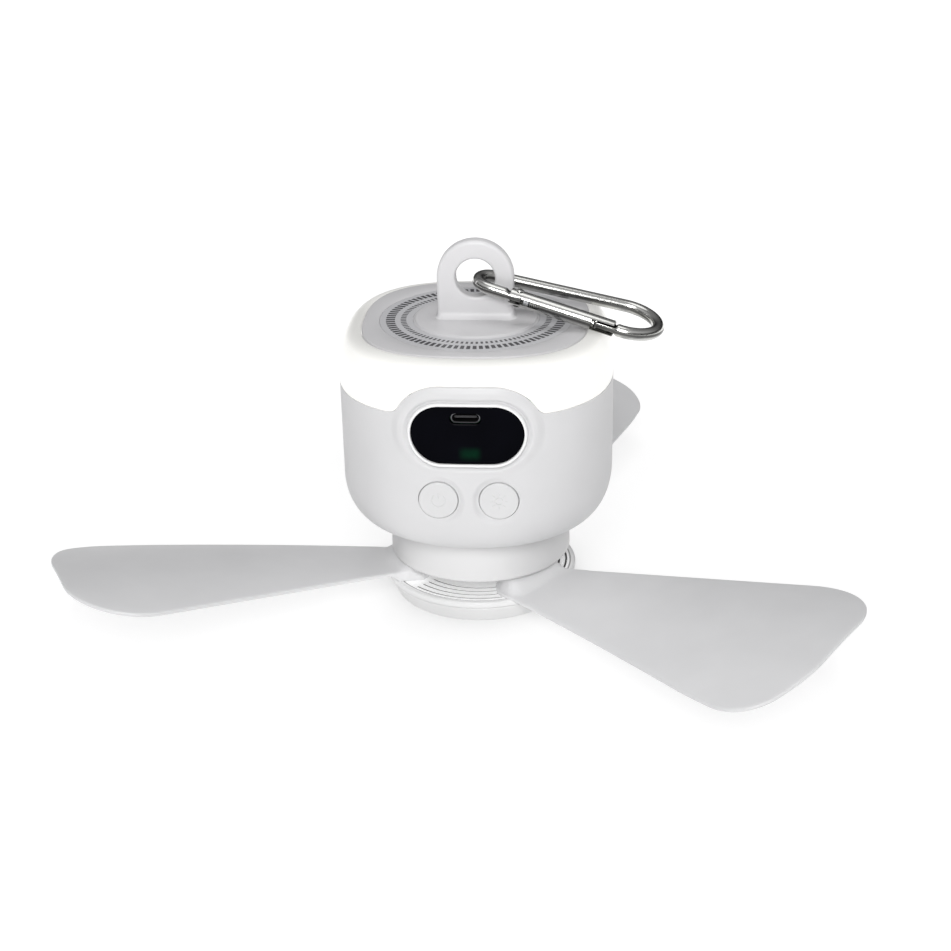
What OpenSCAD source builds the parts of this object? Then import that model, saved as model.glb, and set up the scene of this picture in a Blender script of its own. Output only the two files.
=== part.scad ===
// Portable camping fan and lantern: a rounded battery body with a light ring and a hanging
// loop above, and a three-blade rotor on its hub disc below.  Millimetres, +Z up, and the
// origin in the middle of the base that it stands on.  The control panel faces -Y.

/* [Body] */
// Width of the body across its flat sides
body_w = 88; // [86:0.5:92]
// Squareness of the body seen from above, 2 is round
body_n = 2.46; // [2.3:0.02:2.7]
// Wall of the housing and of the light diffuser
wall = 2; // [1.8:0.1:2.3]
// Height of the underside of the body
body_z = 28.8; // [28.8:0.2:31]
// Radius of the flat underside of the body
foot_r = 30.8; // [30.7:0.1:31.4]
// Height of the curved bowl
bowl_h = 17.2; // [16.4:0.2:18.4]
// Height of the straight part of the housing above the bowl
housing_side_h = 31.9; // [31.6:0.2:34]
// Thickness of the housing floor
floor_t = 2; // [1.6:0.1:2.4]

/* [Light ring] */
// Height of the upright part of the diffuser
diffuser_side_h = 6.4; // [5.4:0.2:8]
// Height of the rounded shoulder
shoulder_h = 10.3; // [9.8:0.1:11.4]
// Number of light emitting diodes
led_count = 16; // [8:1:20]
// Radius of the diode circle
led_r = 30.6; // [30:0.2:31]
// Outer radius of the diode board
led_board_r = 33; // [32.6:0.1:33.4]

/* [Top cap] */
// Width of the cap across its flat sides
cap_w = 72.3; // [70:0.5:74]
// Squareness of the cap
cap_n = 2.75; // [2.5:0.05:3]
// Thickness of the cap
cap_t = 2.5; // [2.3:0.1:3]
// Radius of the raised middle of the cap
crown_r = 19.6; // [18.5:0.2:20]
// Outer radius of the label ring
label_r = 31; // [30:0.2:31.4]
// Thickness of the label
label_t = 0.25; // [0.15:0.05:0.3]

/* [Hanging loop] */
// Outer radius of the arch
loop_r = 12.3; // [11.8:0.1:13.5]
// Radius of the hole
loop_hole_r = 6.3; // [6.2:0.05:6.6]
// Thickness of the loop
loop_t = 5.2; // [4.6:0.1:5.4]
// Height of the hole centre above the cap
loop_h = 13.4; // [13.2:0.2:15]

/* [Control panel] */
// Width of the glossy window
window_w = 35; // [33:0.5:36]
// Height of the glossy window
window_h = 19; // [18:0.25:20]
// Height of the window centre above the bowl
window_up = 26.3; // [26:0.1:27]
// Width of the raised frame around the window
frame_w = 5.9; // [5.4:0.1:6.2]
// Height of the frame above the body surface
frame_up = 0.7; // [0.4:0.1:1]
// Thickness of the window
window_t = 1.5; // [1.2:0.1:1.6]
// Radius of a button
button_r = 6.1; // [5.6:0.1:6.4]
// Distance between the button centres
button_gap = 18.8; // [17.6:0.2:19.4]
// Height of the button centres above the bowl
button_up = 4.1; // [3.6:0.1:4.6]
// Travel of a button
button_travel = 0.8; // [0.4:0.1:1]

/* [Power] */
// Radius of a battery cell
cell_r = 9.2; // [8.8:0.05:9.25]
// Length of a battery cell
cell_l = 65; // [60:0.5:65.5]
// Number of battery cells
cell_count = 3; // [1:1:3]
// Thickness of the circuit boards
board_t = 1.6; // [1:0.1:1.8]

/* [Motor] */
// Radius of the motor shaft
shaft_r = 1.97; // [1.9:0.01:1.98]
// Outer radius of the shaft bearings
bearing_r = 4; // [3.8:0.1:4.4]
// Width of a shaft bearing
bearing_w = 3; // [2.4:0.1:3.2]
// Outer radius of the rotor bell
bell_r = 21.4; // [20.8:0.1:21.8]
// Height of the rotor bell
bell_h = 11.5; // [11:0.1:11.8]
// Radius of the stator
stator_r = 18.2; // [17.6:0.1:18.3]
// Height of the stator plates
stator_h = 7; // [6:0.25:7.4]
// Number of stator teeth
tooth_count = 9; // [6:3:9]
// Outer radius of the motor cover below the body
cover_r = 30; // [29.8:0.05:30.3]
// Height of the motor cover
cover_h = 14.3; // [14.2:0.1:15]

/* [Rotor] */
// Number of blades
blade_count = 3; // [3:1:3]
// Direction of the first blade
blade_turn = 187; // [180:1:195]
// Radius of the blade tips
tip_r = 141.7; // [125:1:150]
// Thickness of a blade
blade_t = 1.2; // [1:0.1:1.5]
// Radius of the hub disc
hub_r = 32; // [31.6:0.1:33]
// Height of the base under the hub disc
base_h = 6.2; // [6:0.1:7]
// Thickness of the hub disc
hub_t = 2.1; // [1.8:0.1:2.4]
// Wall of the base
base_wall = 1.8; // [1.4:0.1:2.2]

/* [Carabiner] */
// Radius of the carabiner wire
wire_r = 2; // [1.8:0.05:2.05]
// Radius of the narrow bend
clip_small_r = 5.4; // [5.3:0.05:5.6]
// Radius of the wide bend
clip_wide_r = 10.4; // [9.8:0.1:11]
// Distance between the bends
clip_l = 43; // [41:0.5:46]
// Slope of the carabiner as it lies on the cap
clip_slope = 14.3; // [13.6:0.1:14.4]
// Turn of the carabiner towards the panel
clip_turn = 4; // [2.5:0.5:4.5]
// Lean of the carabiner towards the panel
clip_lean = 3.5; // [2:0.5:4]
// Outer radius of the gate
gate_r = 2.6; // [2.5:0.05:2.7]

/* [Hidden] */
$fn = 48;

gap = 0.3;               // between pieces that move past each other
snug = 0.1;              // between pieces that only sit in each other
eps = 0.01;
sides = 60;              // facets around the body
half_w = body_w / 2;
bowl_top = body_z + bowl_h;
housing_top = bowl_top + housing_side_h;
shoulder_z = housing_top + diffuser_side_h;
cap_half = cap_w / 2;
cap_top = shoulder_z + shoulder_h + 0.2;
cap_bottom = cap_top - cap_t;

// Body shape: rings of a rounded square
function bulge(a, n) = pow(pow(abs(cos(a)), n) + pow(abs(sin(a)), n), -1 / n);
function ring(w, n, z) = [for (i = [0 : sides - 1])
    let (a = 360 * i / sides, r = w * bulge(a, n)) [r * cos(a), r * sin(a), z]];
function bowl_k(z) = sqrt(max(0, 1 - pow((bowl_top - z) / bowl_h, 2)));
function bowl_w(z) = foot_r + (half_w - foot_r) * bowl_k(z);
function bowl_n(z) = 2 + (body_n - 2) * bowl_k(z);
function shoulder_w(a) = half_w - (half_w - cap_half - 0.8) * (1 - cos(a));
function shoulder_n(a) = body_n + (cap_n - body_n) * a / 90;

// A closed solid through a list of rings, capped at both ends or joined into a loop
module loft(rings, looped = false) {
    n = len(rings[0]);
    m = len(rings);
    last = looped ? m - 1 : m - 2;
    walls = [for (j = [0 : last], i = [0 : n - 1])
        let (k = (j + 1) % m, h = (i + 1) % n)
        each [[j * n + i, k * n + i, j * n + h], [j * n + h, k * n + i, k * n + h]]];
    caps = looped ? [] : [[for (i = [0 : n - 1]) i],
        [for (i = [n - 1 : -1 : 0]) (m - 1) * n + i]];
    polyhedron(points = [for (r = rings) each r], faces = concat(walls, caps), convexity = 6);
}

// Panel shapes stand in the XZ plane; sink and rise are measured from the body surface
window_z = bowl_top + window_up;
button_z = bowl_top + button_up;
panel_angles = [for (i = [-7 : 7]) 270 + i * 360 / sides];
module panel_strip(sink, rise, low, high) {
    polyline = function(w) [for (a = panel_angles) w * bulge(a, body_n) * [cos(a), sin(a)]];
    outer = polyline(half_w + rise);
    inner = polyline(half_w - sink);
    translate([0, 0, low]) linear_extrude(high - low)
        polygon(concat(outer, [for (i = [len(inner) - 1 : -1 : 0]) inner[i]]));
}
module slot_shape(w, h) {
    r = h / 2;
    union() {
        square([w - h, h], center = true);
        for (s = [-1, 1]) translate([s * (w - h) / 2, 0]) circle(r);
    }
}
module front_cut(x, z, depth = half_w) {
    translate([x, -half_w - 6, z]) rotate([-90, 0, 0]) linear_extrude(depth) children();
}
module window_shape(grow) { slot_shape(window_w + 2 * grow, window_h + 2 * grow); }
module along_y(x, z, from, to) {
    translate([x, from, z]) rotate([-90, 0, 0]) linear_extrude(to - from) children();
}

// Fixings
screw_r = 1.2;
pilot_r = screw_r + 0.05;
head_r = 2.1;
head_h = 1.3;
module screw(length) {
    union() {
        cylinder(r = screw_r, h = length + head_h / 3);
        translate([0, 0, length]) difference() {
            cylinder(r = head_r, h = head_h);
            translate([0, 0, head_h - 0.7]) for (t = [0, 90])
                rotate(t) cube([2.6, 0.6, 2], center = true);
        }
    }
}

// ---- Housing ----
housing_z = [0, 1.2, 3, 5.4, 8.4, 12.2];
tray_post_x = half_w - 5.4;
tray_post_y = 10;
tray_posts = [for (x = [-1, 1], y = [-1, 1]) [x * tray_post_x, y * tray_post_y]];
tray_t = 1.7;
tray_z = housing_top - tray_t;
post_r = 3.4;
board_y = -half_w + 10.6;
board_posts = [for (x = [-1, 1], z = [-1, 1]) [x * 16.5, button_z + 0.1 + z * 7.75]];
cover_post_r = 2.5;
cover_post_at = cover_r - 3.8;
motor_screw_at = 16;
shaft_hole_r = 7;

module housing() {
    outer = concat(
        [for (h = housing_z) let (z = body_z + h * bowl_h / 17.2) ring(bowl_w(z), bowl_n(z), z)],
        [ring(half_w, body_n, bowl_top), ring(half_w, body_n, housing_top)]);
    inner_z = concat([floor_t], [for (h = [3, 5.4, 8.4, 12.2]) h]);
    inner = concat(
        [ring(half_w - wall, body_n, housing_top), ring(half_w - wall, body_n, bowl_top)],
        [for (i = [len(inner_z) - 1 : -1 : 0]) let (z = body_z + inner_z[i])
            ring(bowl_w(z) - wall, bowl_n(z), z)]);
    color("whitesmoke") difference() {
        union() {
            loft(concat(outer, inner));
            intersection() {
                panel_strip(wall - 0.1, frame_up, button_z + 4, shoulder_z + 5);
                front_cut(0, window_z) window_shape(frame_w);
            }
            intersection() {
                panel_strip(0.8, frame_up + 0.3, window_z - window_h, window_z + window_h);
                front_cut(0, window_z) window_shape(0.9);
            }
            for (p = tray_posts) translate([p[0], p[1], post_z])
                cylinder(r = post_r, h = tray_z - post_z);
            for (p = board_posts) along_y(p[0], p[1], -half_w + 3.2, board_y) circle(2.4);
        }
        intersection() {
            panel_strip(window_t - 0.2, 4, window_z - window_h, window_z + window_h);
            front_cut(0, window_z) window_shape(0);
        }
        front_cut(0, window_z, 14) window_shape(-1.2);
        for (s = [-1, 1]) {
            front_cut(s * button_gap / 2, button_z, 14) circle(button_r + gap);
            along_y(s * button_gap / 2, button_z, -half_w - 2, -half_w + 0.9)
                circle(button_r + 1.3);
        }
        for (p = tray_posts) translate([p[0], p[1], tray_z - 9]) cylinder(r = pilot_r, h = 10);
        for (p = board_posts) along_y(p[0], p[1], board_y - 5, board_y + 1) circle(pilot_r);
        translate([0, 0, body_z - 1]) {
            cylinder(r = shaft_hole_r, h = floor_t + 2);
            for (k = [0 : 2]) rotate(90 + 120 * k) translate([cover_post_at, 0, 0])
                cylinder(r = pilot_r, h = floor_t + 2);
            for (k = [0 : 3]) rotate(45 + 90 * k) translate([motor_screw_at, 0, 0])
                cylinder(r = pilot_r, h = floor_t + 2);
        }
    }
}

// ---- Light ring and cap ----
shoulder_a = [0, 22, 42, 58, 72, 84];
module light_diffuser() {
    outer = concat([ring(half_w, body_n, housing_top)],
        [for (a = shoulder_a) ring(shoulder_w(a), shoulder_n(a), shoulder_z + shoulder_h * sin(a))]);
    seat = cap_half + 0.25;
    ledge = cap_half - 1.8;
    inner = concat(
        [ring(seat, cap_n, shoulder_z + shoulder_h * sin(84)), ring(seat, cap_n, cap_bottom)],
        [ring(ledge, cap_n, cap_bottom), ring(ledge, cap_n, cap_bottom - 1.3)],
        [for (a = [58, 42, 22, 0]) ring(shoulder_w(a) - wall + 0.2, shoulder_n(a),
            shoulder_z + (shoulder_h - 1.6) * sin(a))],
        [ring(half_w - wall + 0.2, body_n, housing_top)]);
    color([1, 0.99, 0.95]) difference() {
        loft(concat(outer, inner), looped = true);
        front_cut(0, window_z, 14) window_shape(frame_w + gap);
    }
}

label_in_r = crown_r + 0.8;
cap_screw_at = 25.5;
cap_screw_spots = [for (k = [0 : 3]) 45 + 90 * k];
label_z = cap_top - label_t - 0.1;
head_z = label_z - head_h - 0.05;
loop_z = cap_top + loop_h;
arch_z = loop_z + 0.42;
led_board_z = cap_bottom - 2.7;
led_board_t = 1.2;
cap_post_r = 3.2;

module top_cap() {
    color("gainsboro") difference() {
        union() {
            loft([ring(cap_half, cap_n, cap_bottom), ring(cap_half, cap_n, cap_top - 0.5),
                ring(cap_half - 0.5, cap_n, cap_top)]);
            translate([0, 0, cap_top - 0.5]) cylinder(r1 = crown_r + 0.5, r2 = crown_r, h = 1.1);
            hull() {
                translate([0, 0, cap_top + 0.6]) cube([2 * loop_r + 5, loop_t + 5, 0.2], center = true);
                translate([0, 0, cap_top + 2.8]) cube([2 * loop_r, loop_t, 0.2], center = true);
            }
            translate([0, loop_t / 2, 0]) rotate([90, 0, 0]) linear_extrude(loop_t) union() {
                translate([-loop_r, cap_top]) square([2 * loop_r, arch_z - cap_top]);
                translate([0, arch_z]) circle(loop_r, $fn = 96);
            }
            for (t = cap_screw_spots) rotate(t) translate([cap_screw_at, 0, 0])
                translate([0, 0, led_board_z + led_board_t])
                    cylinder(r = cap_post_r, h = cap_bottom - led_board_z - led_board_t + eps);
        }
        translate([0, 0, label_z]) difference() {
            cylinder(r = label_r + snug, h = 2, $fn = 96);
            translate([0, 0, -1]) cylinder(r = label_in_r - snug, h = 4, $fn = 96);
        }
        translate([0, -loop_t, loop_z]) rotate([-90, 0, 0])
            cylinder(r = loop_hole_r, h = 2 * loop_t, $fn = 96);
        for (t = cap_screw_spots) rotate(t) translate([cap_screw_at, 0, 0]) {
            translate([0, 0, led_board_z]) cylinder(r = pilot_r, h = 8);
            translate([0, 0, head_z]) cylinder(r = head_r + snug, h = 4);
        }
    }
}

module label_ring() {
    color([0.86, 0.86, 0.88]) translate([0, 0, label_z]) difference() {
        cylinder(r = label_r, h = label_t, $fn = 96);
        translate([0, 0, -1]) cylinder(r = label_in_r, h = 3, $fn = 96);
    }
}

cap_screw_l = head_z - led_board_z + 6;
module cap_screws() {
    color("silver") for (t = cap_screw_spots) rotate(t)
        translate([cap_screw_at, 0, head_z - cap_screw_l]) screw(cap_screw_l);
}

drum_r = 29.3;
drum_wall = 1.8;
notch_x = window_w / 2 + 4.5;
notch_y = -drum_r - 0.6;
module tray_outline(w) {
    polygon([for (p = ring(w, body_n, 0)) [p[0], p[1]]]);
}
module light_tray() {
    color("white") difference() {
        union() {
            translate([0, 0, tray_z]) linear_extrude(tray_t) tray_outline(half_w - wall - 0.4);
            translate([0, 0, tray_z]) difference() {
                cylinder(r = drum_r, h = led_board_z - tray_z, $fn = 96);
                translate([0, 0, -1])
                    cylinder(r = drum_r - drum_wall, h = led_board_z - tray_z + 2, $fn = 96);
            }
            for (t = cap_screw_spots) rotate(t) translate([cap_screw_at, 0, tray_z])
                cylinder(r = cap_post_r, h = led_board_z - tray_z);
        }
        translate([-notch_x, notch_y - 20, tray_z - 1]) cube([2 * notch_x, 20, tray_t + 2]);
        for (p = tray_posts) translate([p[0], p[1], tray_z - 1]) cylinder(r = pilot_r, h = 4);
        for (t = cap_screw_spots) rotate(t) translate([cap_screw_at, 0, led_board_z - 8])
            cylinder(r = pilot_r, h = 9);
        translate([0, 0, tray_z - 1]) cylinder(r = 12, h = tray_t + 2);
    }
}
module tray_screws() {
    color("silver") for (p = tray_posts)
        translate([p[0], p[1], tray_z + tray_t - 9]) screw(9);
}
module led_board() {
    color("ghostwhite") translate([0, 0, led_board_z]) difference() {
        cylinder(r = led_board_r, h = led_board_t, $fn = 96);
        translate([0, 0, -1]) cylinder(r = 16, h = 4);
        for (t = cap_screw_spots) rotate(t) translate([cap_screw_at, 0, -1])
            cylinder(r = pilot_r, h = 4);
    }
}
led_size = [2.8, 3.5, 0.8];
module led_chips() {
    color([1, 0.95, 0.6]) for (k = [0 : led_count - 1]) rotate(360 * (k + 0.5) / led_count)
        translate([led_r + 0.4 - led_size[0] / 2, -led_size[1] / 2, led_board_z - led_size[2]])
            cube(led_size);
}

// ---- Control panel ----
usb_x = -0.4;
usb_z = window_z + 5.4;
usb_hole = [9.6, 3.8];
usb_shell = [8.94, 3.26];
usb_wall = 0.3;
usb_front_y = -half_w + 1.1;
display_z = window_z - 5.95;
display_size = [14, 5.2, 8];
switch_size = 6;
switch_h = 3.5;
plunger_r = 1.7;
button_sides = [-1, 1];

module display_window() {
    color([0.02, 0.02, 0.03]) difference() {
        intersection() {
            panel_strip(window_t - 0.2 - snug / 2, 0.3, window_z - window_h, window_z + window_h);
            front_cut(0, window_z) window_shape(-snug / 2);
        }
        front_cut(usb_x, usb_z, 14) slot_shape(usb_hole[0], usb_hole[1]);
    }
}
module digit_display() {
    color([0.05, 0.25, 0.1]) translate([-display_size[0] / 2, board_y - display_size[1],
        display_z - display_size[2] / 2]) cube(display_size);
}
module control_board() {
    low = button_z - 11;
    high = usb_z + 3.4;
    w = 2 * board_posts[3][0] + 6;
    color("darkgreen") difference() {
        translate([-w / 2, board_y, low]) cube([w, board_t, high - low]);
        for (p = board_posts) along_y(p[0], p[1], board_y - 1, board_y + board_t + 1)
            circle(pilot_r);
    }
}
module board_screws() {
    color("silver") for (p = board_posts) translate([p[0], board_y - 4, p[1]])
        rotate([-90, 0, 0]) screw(4 + board_t);
}
module usb_socket() {
    length = board_y - usb_front_y;
    color("silver") difference() {
        along_y(usb_x, usb_z, usb_front_y, board_y) slot_shape(usb_shell[0], usb_shell[1]);
        along_y(usb_x, usb_z, usb_front_y - 1, board_y - 1.2)
            slot_shape(usb_shell[0] - 2 * usb_wall, usb_shell[1] - 2 * usb_wall);
    }
}
module usb_tongue() {
    color("black") translate([usb_x - 3.35, usb_front_y + 1, usb_z - 0.35])
        cube([6.7, board_y - 1.2 - usb_front_y - 1, 0.7]);
}
module tact_switches() {
    color("dimgray") for (s = button_sides) translate([s * button_gap / 2, 0, button_z])
        difference() {
            translate([-switch_size / 2, board_y - switch_h, -switch_size / 2])
                cube([switch_size, switch_h, switch_size]);
            along_y(0, 0, board_y - switch_h - 1, board_y - 0.6) circle(plunger_r + snug);
        }
}
flange_y = -half_w + 4.2;
flange_t = 1;
plunger_y = board_y - switch_h - 1.1;
button_face_y = -half_w + 0.5;
module button(s) {
    translate([s * button_gap / 2, 0, button_z]) union() {
        along_y(0, 0, button_face_y + 0.5, flange_y + eps) circle(button_r);
        translate([0, button_face_y, 0]) rotate([-90, 0, 0])
            cylinder(r1 = button_r - 0.5, r2 = button_r, h = 0.5 + eps);
        along_y(0, 0, flange_y, flange_y + flange_t) circle(button_r + 1.1);
        along_y(0, 0, flange_y + flange_t - eps, plunger_y) circle(plunger_r);
    }
}
module plunger(s) {
    along_y(s * button_gap / 2, button_z, plunger_y, board_y - 0.7 - button_travel - gap)
        circle(plunger_r);
}
module power_button() { color("white") button(-1); }
module light_button() { color("white") button(1); }
module power_plunger() { color("black") plunger(-1); }
module light_plunger() { color("black") plunger(1); }

// ---- Batteries ----
cell_pitch = 2 * cell_r + 0.8;
cell_z = bowl_top + 1.5;
post_z = cell_z + cell_r + 1.5;   // the tray posts stay above the cells
function cell_y(k) = board_y + board_t + 3.4 + cell_r + k * cell_pitch;
module cell_tube(k, r, l) {
    translate([-l / 2, cell_y(k), cell_z]) rotate([0, 90, 0]) cylinder(r = r, h = l);
}
module battery_cell(k) {
    if (k < cell_count) color("royalblue") difference() {
        cell_tube(k, cell_r, cell_l);
        for (s = [-1, 1]) translate([s * cell_l / 2, cell_y(k), cell_z]) rotate([0, 90, 0])
            difference() {
                cylinder(r = cell_r - 1, h = 1, center = true);
                cylinder(r = 3.5, h = 3, center = true);
            }
    }
}
module battery_cell_1() { battery_cell(0); }
module battery_cell_2() { battery_cell(1); }
module battery_cell_3() { battery_cell(2); }

holder_z = body_z + floor_t + 4.7;
holder_foot = 16;
holder_l = cell_l - 11;
holder_w = (cell_count - 1) * cell_pitch + 2 * cell_r - 1.8;
module battery_holder() {
    color("dimgray") difference() {
        union() {
            translate([-holder_l / 2, cell_y(0) - cell_r + 0.9, holder_z])
                cube([holder_l, holder_w, 6]);
            for (x = [-1, 1], y = [-1, 1])
                translate([x * holder_foot, y * holder_foot, body_z + floor_t])
                    cylinder(r = 3, h = holder_z - body_z - floor_t + eps);
        }
        for (k = [0 : cell_count - 1]) cell_tube(k, cell_r + snug, cell_l);
        translate([-12, -40, holder_z - 1]) cube([24, 80, 2]);
        for (x = [-1, 1]) translate([x * 17, 0, holder_z - 1]) cylinder(r = 3, h = 9);
    }
}
module battery_tabs() {
    color("silver") for (s = [-1, 1]) {
        span = (cell_count - 1) * cell_pitch + 7;
        translate([s * (cell_l / 2 + 0.15), cell_y((cell_count - 1) / 2), cell_z])
            cube([0.3, span, 7], center = true);
    }
}

// ---- Motor ----
cover_z = body_z - cover_h;
cover_wall = 1.7;
cover_lip = 1.5;
bell_z = cover_z + 0.2;
bell_t = 1.2;
bell_in_r = bell_r - 1.2;
magnet_r = stator_r + 0.5;
mount_t = 1.8;
mount_z = body_z - mount_t;
tube_r = bearing_r + 1.8;
tube_z = bell_z + bell_t + 0.9;
stator_z = tube_z + 0.9;
bearing_low_z = tube_z;
bearing_high_z = body_z - bearing_w;
race_r = 2;

module motor_cover() {
    color("whitesmoke") difference() {
        union() {
            difference() {
                translate([0, 0, cover_z]) rotate_extrude($fn = 96) polygon([[0, 0],
                    [cover_r - 0.8, 0], [cover_r - 0.25, 0.25], [cover_r, 0.8],
                    [cover_r - 0.4, cover_h], [0, cover_h]]);
                translate([0, 0, cover_z + cover_lip])
                    cylinder(r = cover_r - cover_wall, h = cover_h, $fn = 96);
            }
            for (k = [0 : 2]) rotate(90 + 120 * k) translate([cover_post_at, 0, cover_z + 1])
                cylinder(r = cover_post_r, h = cover_h - 1.1);
        }
        translate([0, 0, cover_z - 1]) cylinder(r = bell_r + 1.4, h = cover_lip + 2, $fn = 96);
        for (k = [0 : 2]) rotate(90 + 120 * k) translate([cover_post_at, 0, body_z - 8])
            cylinder(r = pilot_r, h = 9);
    }
}
module cover_screws() {
    l = 7 + floor_t;
    color("silver") for (k = [0 : 2]) rotate(90 + 120 * k)
        translate([cover_post_at, 0, body_z + floor_t - l]) screw(l);
}
module motor_mount() {
    color("silver") difference() {
        union() {
            translate([0, 0, mount_z]) cylinder(r = 22, h = mount_t, $fn = 96);
            translate([0, 0, tube_z]) cylinder(r = tube_r, h = body_z - tube_z - eps);
        }
        translate([0, 0, tube_z - 1]) cylinder(r = bearing_r - 0.6, h = 40);
        translate([0, 0, tube_z - 1]) cylinder(r = bearing_r, h = bearing_w + 1);
        translate([0, 0, bearing_high_z]) cylinder(r = bearing_r, h = bearing_w + 1);
        for (k = [0 : 3]) rotate(45 + 90 * k) translate([motor_screw_at, 0, mount_z - 1])
            cylinder(r = pilot_r, h = 4);
    }
}
module motor_screws() {
    l = mount_t + floor_t;
    color("silver") for (k = [0 : 3]) rotate(45 + 90 * k)
        translate([motor_screw_at, 0, mount_z]) screw(l);
}
module bearing(z) {
    ball_at = (race_r + bearing_r) / 2;
    color("lightgray") translate([0, 0, z]) {
        difference() {
            cylinder(r = bearing_r, h = bearing_w);
            translate([0, 0, -1]) cylinder(r = bearing_r - 0.6, h = bearing_w + 2);
        }
        difference() {
            cylinder(r = race_r + 0.6, h = bearing_w);
            translate([0, 0, -1]) cylinder(r = race_r, h = bearing_w + 2);
        }
        for (k = [0 : 6]) rotate(360 * k / 7) translate([ball_at, 0, bearing_w / 2])
            sphere(r = (bearing_r - race_r - 1.2) / 2 - 0.02, $fn = 24);
    }
}
module bearing_lower() { bearing(bearing_low_z); }
module bearing_upper() { bearing(bearing_high_z); }

tooth_w = 2.4;
tooth_tip = 2;
yoke_r = tube_r + 2.6;
module stator_core() {
    color("slategray") translate([0, 0, stator_z]) linear_extrude(stator_h) difference() {
        union() {
            circle(yoke_r, $fn = 96);
            for (k = [0 : tooth_count - 1]) rotate(360 * k / tooth_count) {
                translate([tube_r + 1, -tooth_w / 2])
                    square([stator_r - tooth_tip / 2 - tube_r - 1, tooth_w]);
                intersection() {
                    difference() {
                        circle(stator_r, $fn = 96);
                        circle(stator_r - tooth_tip, $fn = 96);
                    }
                    reach = stator_r * tan(135 / tooth_count);
                    polygon([[0, 0], [stator_r, -reach], [stator_r + 1, 0], [stator_r, reach]]);
                }
            }
        }
        circle(tube_r, $fn = 96);
    }
}
module stator_coils() {
    coil_in = yoke_r + 0.8;
    coil_l = stator_r - tooth_tip - 0.6 - coil_in;
    turns = 1;
    color("peru") for (k = [0 : tooth_count - 1]) rotate(360 * k / tooth_count)
        translate([coil_in, 0, stator_z + stator_h / 2]) difference() {
            translate([0, -tooth_w / 2 - turns, -stator_h / 2 - turns])
                cube([coil_l, tooth_w + 2 * turns, stator_h + 2 * turns]);
            translate([-1, -tooth_w / 2 - 0.05, -stator_h / 2 - 0.05])
                cube([coil_l + 2, tooth_w + 0.1, stator_h + 0.1]);
        }
}
module motor_bell() {
    color("darkgray") translate([0, 0, bell_z]) difference() {
        cylinder(r = bell_r, h = bell_h, $fn = 96);
        translate([0, 0, bell_t]) cylinder(r = bell_in_r, h = bell_h, $fn = 96);
        translate([0, 0, -1]) cylinder(r = shaft_r, h = 4);
        for (k = [0 : 5]) rotate(60 * k) translate([12, 0, -1]) cylinder(r = 3, h = 4);
    }
}
module magnet_ring() {
    color("dimgray") translate([0, 0, bell_z + bell_t + 0.7]) difference() {
        cylinder(r = bell_in_r, h = bell_h - bell_t - 1.2, $fn = 96);
        translate([0, 0, -1]) cylinder(r = magnet_r, h = bell_h + 2, $fn = 96);
    }
}
shaft_bottom = base_wall + 1.2;
shaft_top = body_z + 2;
clip_z = body_z + 0.15;
module motor_shaft() {
    color("silver") difference() {
        translate([0, 0, shaft_bottom]) cylinder(r = shaft_r, h = shaft_top - shaft_bottom);
        translate([0, 0, clip_z]) difference() {
            cylinder(r = 5, h = 0.6);
            translate([0, 0, -1]) cylinder(r = shaft_r - 0.5, h = 3);
        }
    }
}
module shaft_circlip() {
    color("silver") translate([0, 0, clip_z]) difference() {
        cylinder(r = shaft_r + 1.5, h = 0.6);
        translate([0, 0, -1]) cylinder(r = shaft_r - 0.5, h = 3);
        translate([0, -0.9, -1]) cube([6, 1.8, 3]);
    }
}

// ---- Rotor ----
hub_z = base_h;
hub_top = hub_z + hub_t;
vent_count = 4;
vent_pitch = 2.4;
vent_w = 1.1;
root_from = -17;
root_to = 38;
vent_from = root_to + 2;
vent_to = 360 / blade_count + root_from - 2;
nut_h = 2.6;
skirt_h = 1.6;           // the ring under the hub that the base snaps onto
skirt_t = 1.6;
nut_z = hub_z - nut_h;
module vents() {
    mid = (vent_from + vent_to) / 2;
    for (b = [0 : blade_count - 1], i = [0 : vent_count - 1]) blade_frame(b)
        linear_extrude(20) intersection() {
            difference() {
                circle(hub_r - 2.8 - i * vent_pitch, $fn = 96);
                circle(hub_r - 2.8 - i * vent_pitch - vent_w, $fn = 96);
            }
            polygon([[0, 0], for (t = [vent_from, mid, vent_to]) 60 * [cos(t), sin(t)]]);
        }
}
module rotor_hub() {
    color("white") difference() {
        union() {
            translate([0, 0, hub_z]) rotate_extrude($fn = 96) polygon([[0, 0], [hub_r - 0.6, 0],
                [hub_r, 0.5], [hub_r, hub_t - 0.6], [hub_r - 0.6, hub_t], [0, hub_t]]);
            translate([0, 0, hub_top - eps]) cylinder(r = 7, h = bell_z - hub_top + eps);
            translate([0, 0, hub_z - skirt_h]) difference() {
                cylinder(r = base_in_r - snug, h = skirt_h + eps, $fn = 96);
                translate([0, 0, -1])
                    cylinder(r = base_in_r - skirt_t, h = skirt_h + 1, $fn = 96);
            }
        }
        translate([0, 0, hub_top - 0.4]) difference() {
            cylinder(r = hub_r - 1.5, h = 2, $fn = 96);
            translate([0, 0, -1]) cylinder(r = hub_r - 2.1, h = 4, $fn = 96);
        }
        translate([0, 0, -5]) vents();
        translate([0, 0, hub_z - 3]) cylinder(r = shaft_r, h = 20);
        for (b = [0 : blade_count - 1]) blade_frame(b) for (p = blade_screw_spots)
            translate([p[0], p[1], hub_z - 1]) cylinder(r = pilot_r, h = 9);
    }
}
module hub_nut() {
    color("silver") translate([0, 0, nut_z]) difference() {
        cylinder(r = 4, h = nut_h, $fn = 6);
        translate([0, 0, -1]) cylinder(r = shaft_r, h = nut_h + 2);
    }
}
base_r = hub_r - 2.6;
base_top_r = hub_r - 0.8;
base_in_r = hub_r - 3.2;
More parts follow.
